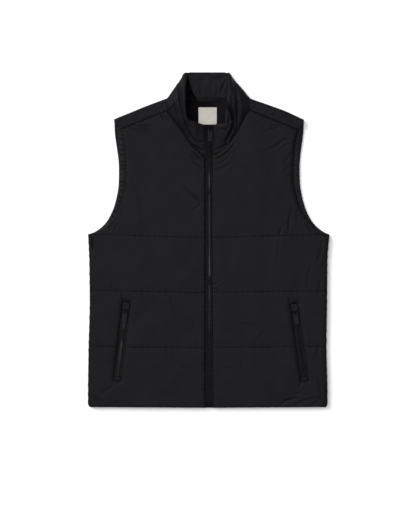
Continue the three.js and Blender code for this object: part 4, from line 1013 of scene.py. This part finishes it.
def repeat_along(name, paths, part, pitch, seed=1, jitter=0.0):
    """Copies of a part spaced evenly along paths, each turned to follow its path."""
    tree = bpy.data.node_groups.new(name, "GeometryNodeTree")
    sockets = {"Paths": "Geometry", "Part": "Object", "Pitch": "Float", "Jitter": "Float",
               "Material": "Material", "Seed": "Int"}
    for label, kind in sockets.items():
        tree.interface.new_socket(name=label, in_out="INPUT", socket_type=f"NodeSocket{kind}")
    tree.interface.new_socket(name="Copies", in_out="OUTPUT", socket_type="NodeSocketGeometry")
    given = node(tree, "NodeGroupInput").outputs
    wires = node(tree, "GeometryNodeMeshToCurve", {"Mesh": given["Paths"]})
    inputs = {"Curve": wires, "Length": given["Pitch"]}
    points = node(tree, "GeometryNodeCurveToPoints", inputs, mode="LENGTH")
    inputs = {"Min": -1.0, "Max": 1.0, "Seed": given["Seed"]}
    random = node(tree, "FunctionNodeRandomValue", inputs, data_type="FLOAT")
    angle = node(tree, "ShaderNodeMath", {0: random.outputs[1], 1: given["Jitter"]}, operation="MULTIPLY")
    wobble = node(tree, "ShaderNodeCombineXYZ", {"Z": angle})
    inputs = {"Vector": points.outputs["Tangent"]}
    forward = node(tree, "FunctionNodeAlignRotationToVector", inputs, axis="Y", pivot_axis="Z")
    inputs = {"Rotation": forward, "Rotate By": wobble}
    turned = node(tree, "FunctionNodeRotateRotation", inputs, rotation_space="LOCAL")
    shape = node(tree, "GeometryNodeObjectInfo", {"Object": given["Part"]}).outputs["Geometry"]
    inputs = {"Points": points, "Instance": shape, "Rotation": turned}
    copies = node(tree, "GeometryNodeInstanceOnPoints", inputs)
    real = node(tree, "GeometryNodeRealizeInstances", {"Geometry": copies})
    painted = node(tree, "GeometryNodeSetMaterial", {"Geometry": real, "Material": given["Material"]})
    node(tree, "NodeGroupOutput", {"Copies": painted})

    data = bpy.data.meshes.new(name)
    points_in, edges = [], []
    for path in paths:
        first = len(points_in)
        points_in += (np.asarray(path) * MM).tolist()
        edges += [(i, i + 1) for i in range(first, len(points_in) - 1)]
    data.from_pydata(points_in, edges, [])
    piece = add_object(name, data)
    modifier = piece.modifiers.new("copies", "NODES")
    modifier.node_group = tree
    material = part.data.materials[0]
    values = {"Part": part, "Pitch": pitch * MM, "Jitter": jitter, "Material": material, "Seed": seed}
    for item in tree.interface.items_tree:
        if item.name in values:
            modifier[item.identifier] = values[item.name]
    apply_modifiers(piece)
    bpy.data.objects.remove(part)
    piece.data.shade_smooth()
    return piece


zip_y = np.linspace(CHAIN_FOOT_Y, CHAIN_TOP_Y, 200)
zip_line = np.column_stack([read(ZIP, "y", "centre", zip_y), zip_y, read(ZIP, "y", "base", zip_y)])
# Its core is a low strip under the coils.
CORE_HEIGHT = 1.7
CORE_SECTION = [(-1, 0), (1, 0), (1, 0.6), (0.7, 1), (-0.7, 1), (-1, 0.6)]
sections = [[(x + CHAIN_HALF * a, y, z + CORE_HEIGHT * b) for a, b in CORE_SECTION] for x, y, z in zip_line]
core = add_bar("zip_core", sections, tape_cloth)
attach(core, "zip_tape", "zip_chain")
# The two coils mesh half a tooth apart.
TOOTH_PITCH = 1.3
COIL_LINES = ((-1.35, 0, 2.1), (1.35, 0.6, 2.1))
paths = [zip_line + shift for shift in COIL_LINES]
coils = repeat_along("zip_coils", paths, bead("tooth", coil_nylon_painted_highlights["front"], **TOOTH), TOOTH_PITCH)
attach(coils, "zip_coil")


def refined(name, source, material, bevel=0.22, body="vest"):
    """Copy of a hard CAD piece with its edges rounded."""
    data = bpy.data.objects[source].data.copy()
    data.materials.clear()
    data.materials.append(material)
    piece = add_object(name, data)
    rounding = piece.modifiers.new("edges", "BEVEL")
    rounding.width, rounding.segments, rounding.limit_method = bevel * MM, 2, "ANGLE"
    rounding.angle_limit = math.radians(35)
    apply_modifiers(piece)
    attach(piece, "hardware", source, body=body)


refined("zip_foot", "zip_box", slider_paint)
refined("zip_slider_body", "zip_slider", slider_paint)
refined("zip_pull_tab", "zip_pull", pull_metal, 0.45, "front_pull")

# Pockets
# Each has a narrow coil zip in its slot, a stitched cloth garage over its top end and a
# short stay at the bottom. A rolled edge runs round the slot.
GARAGE_LENGTH = 19
STAY_LENGTH = 10
PATCH_HALF = POCKET_WIDTH / 2 - 0.5


def add_patch(name, side, y0, y1, under, height, material):
    """Small padded patch with a stitched-down border."""
    x, y, edge = sheet_grid(-PATCH_HALF, PATCH_HALF, y0, y1, 1, (0.2, 0.5, 0.9, 1.4, 2))
    z = under + height * (0.35 + 0.65 * rise(edge, 1.2)) - 0.45 * np.exp(-(((edge - 1.8) / 0.5) ** 2))
    z += 0.15 * waves(x, y, 7, 81)
    low = at_pocket(side, np.stack([x, y, np.full(x.shape, under)], -1))
    return add_wall(name, at_pocket(side, np.stack([x, y, z], -1)), low, material)


for side in SIDES:
    length = pocket_frame(side)[1]
    stay_top = -length + STAY_LENGTH + 0.5
    base_z = POCKET_FLOOR + GAP
    zip_end = stay_top + GAP

    garage = add_patch(f"garage_{side}", side, -GARAGE_LENGTH, -0.5, base_z, 4, shell)
    attach(garage, "shell", f"pocket_garage_top_{side}")
    stay = add_patch(f"stay_{side}", side, -length + 0.5, stay_top, base_z, 3, shell)
    attach(stay, "shell", f"pocket_garage_base_{side}")

    section = [(-PATCH_HALF, 0), (PATCH_HALF, 0), (PATCH_HALF, 0.8), (0, 1), (-PATCH_HALF, 0.8)]
    sections = [at_pocket(side, [(x, y, base_z + z) for x, z in section])
                for y in np.linspace(zip_end, -GARAGE_LENGTH - GAP, 60)]
    tape = add_bar(f"pocket_webbing_{side}", sections, tape_cloth)
    attach(tape, "zip_tape", f"pocket_tape_{side}")

    chain_y = np.linspace(zip_end, -GARAGE_LENGTH - 8.2, 60)
    line = np.stack([0 * chain_y, chain_y, 0 * chain_y + base_z + TAPE_THICK + GAP], -1)
    section = [(-2.6, 0), (2.6, 0), (2.2, 0.5), (-2.2, 0.5)]
    sections = [at_pocket(side, [(x, y, base + z) for x, z in section]) for _, y, base in line]
    core = add_bar(f"pocket_core_{side}", sections, tape_cloth)
    attach(core, "zip_tape", f"pocket_chain_{side}")
    paths = [at_pocket(side, line + shift) for shift in ((-1.25, 0, 0.8), (1.25, 0.6, 0.8))]
    coils = repeat_along(f"pocket_coils_{side}", paths, bead("tooth", coil_nylon_painted_highlights[side], **TOOTH), TOOTH_PITCH)
    attach(coils, "zip_coil")

    refined(f"pocket_slider_body_{side}", f"pocket_slider_{side}", slider_paint)
    refined(f"pocket_pull_tab_{side}", f"pocket_pull_{side}", pull_metal, 0.4, f"{side}_pull")

# Stitching
# Short dark thread stitches along the quilting lines, round the pocket patches and the label.
# Their rows follow the surface that they are sewn through.
dark_thread = polymer("dark_thread", grey(0.0024), grey(0.004), 0.6, shine=0.05)
pale_thread = polymer("pale_thread", (0.4, 0.385, 0.355), (0.48, 0.46, 0.43), 0.7, shine=0.2)
STITCH = ((-0.5, 0.4), (-0.35, 0.9), (0, 1), (0.35, 0.9), (0.5, 0.4))


def laid_on(piece, path, lift=0.1):
    """A path in plan, put on a piece's surface."""
    data = piece.data
    tree = BVHTree.FromPolygons([v.co for v in data.vertices], [tuple(p.vertices) for p in data.polygons])
    points = []
    for x, y in np.asarray(path):
        hit = tree.ray_cast(Vector((x * MM, y * MM, 0.1)), Vector((0, 0, -1)))[0]
        if hit is not None:
            points.append((x, y, hit.z / MM + lift))
    return np.array(points)


def sew(name, rows, slot, thread, length, thick, pitch, seed, jitter=0.05):
    """Rows of stitches, each a short rounded thread lying along its row; slot is not used."""
    rings = [(length * share, size) for share, size in STITCH]
    stitch = bead("stitch", thread, 1, rings, thick / 2, thick / 2)
    attach(repeat_along(name, rows, stitch, pitch, seed, jitter), slot)


def round_patch(x0, x1, y0, y1, inset, radius):
    """Closed outline inside a rectangle's edge."""
    outline = rounded_outline(x0 + inset, x1 - inset, y0 + inset, y1 - inset, radius)
    return np.vstack([outline, outline[:1]])


for side, sign in SIDES.items():
    rows = []
    for line in QUILT[side][1:]:
        share = np.linspace(0.05, 0.985, 160)
        inner_x = abs(float(read(ZIP, "y", side, line[0])))
        x = mix(inner_x, float(side_edge(side, line[1])), share)
        rows.append(laid_on(fronts[side], np.column_stack([sign * x, mix(*line, share)])))
    sew(f"quilting_stitches_{side}", rows, "shell", dark_thread, 2.2, 0.45, 3, 3)

    rows = []
    foot = -pocket_frame(side)[1] + 0.5
    for name, y0, y1 in (("garage", -GARAGE_LENGTH, -0.5), ("stay", foot, foot + STAY_LENGTH)):
        outline = round_patch(-PATCH_HALF, PATCH_HALF, y0, y1, 1.8, 0.6)
        outline = at_pocket(side, np.column_stack([outline, 0 * outline[:, 0]]))[:, :2]
        patch = bpy.data.objects[f"{name}_{side}"]
        rows.append(laid_on(patch, curve(outline, np.linspace(0, 1, 60))))
    sew(f"pocket_stitches_{side}", rows, "shell", dark_thread, 1.7, 0.4, 2.3, 4)

outline = round_patch(*[LABEL[end] for end in ("x0", "x1", "y0", "y1")], 2.2, 0.4)
rows = [laid_on(label, curve(outline, np.linspace(0, 1, 120)), lift=0.08)]
sew("label_stitches", rows, "label", pale_thread, 1.8, 0.35, 2.4, 5, 0.04)

# Floor, light and camera
# A white ground with soft light from the upper left, seen from straight above.
FLOOR_HALF = 6
FLOOR_Z = -0.0003
KEY_FROM = (-0.75, 0.6, 0.78)
ground = bpy.data.materials.new("ground")
ground.use_nodes = True
fill(ground.node_tree.nodes["Principled BSDF"], {
    "Base Color": (0.9, 0.9, 0.9, 1), "Roughness": 1, "Specular IOR Level": 0})
floor_data = bpy.data.meshes.new("floor")
corners = [(x * FLOOR_HALF, y * FLOOR_HALF, FLOOR_Z) for x, y in ((-1, -1), (1, -1), (1, 1), (-1, 1))]
floor_data.from_pydata(corners, [], [(0, 1, 2, 3)])
floor_data.materials.append(ground)
add_object("floor", floor_data)

world = bpy.data.worlds.new("studio")
world.use_nodes = True
fill(world.node_tree.nodes["Background"], {"Color": (1, 1, 1, 1), "Strength": 0.32})
bpy.context.scene.world = world
key_data = bpy.data.lights.new("key", "SUN")
key_data.energy, key_data.angle = 2.7, math.radians(34)
add_object("key", key_data).rotation_euler = Vector(KEY_FROM).to_track_quat("Z", "Y").to_euler()
softbox_data = bpy.data.lights.new("softbox", "AREA")
softbox_data.shape, softbox_data.size, softbox_data.energy = "SQUARE", 2.4, 92
softbox = add_object("softbox", softbox_data)
softbox.location = (-0.3, 0.2, 4.2)
softbox.visible_camera = False

# The picture is 520 pixels high, and its middle lies over this place.
MM_PER_PIXEL = 2.28
PICTURE_HEIGHT = 520
PICTURE_MIDDLE = (-0.0014, -0.0454)
HEIGHT_IN_FOCUS = 0.01
camera_data = bpy.data.cameras.new("camera")
camera_data.lens, camera_data.sensor_height, camera_data.sensor_fit = 100, 36, "VERTICAL"
camera_data.dof.use_dof = False
camera = add_object("camera", camera_data)
view_height = PICTURE_HEIGHT * MM_PER_PIXEL * MM
away = view_height * camera_data.lens / camera_data.sensor_height
camera.location = (*PICTURE_MIDDLE, HEIGHT_IN_FOCUS + away)
bpy.context.scene.camera = camera
bpy.context.scene.view_settings.view_transform = "Standard"
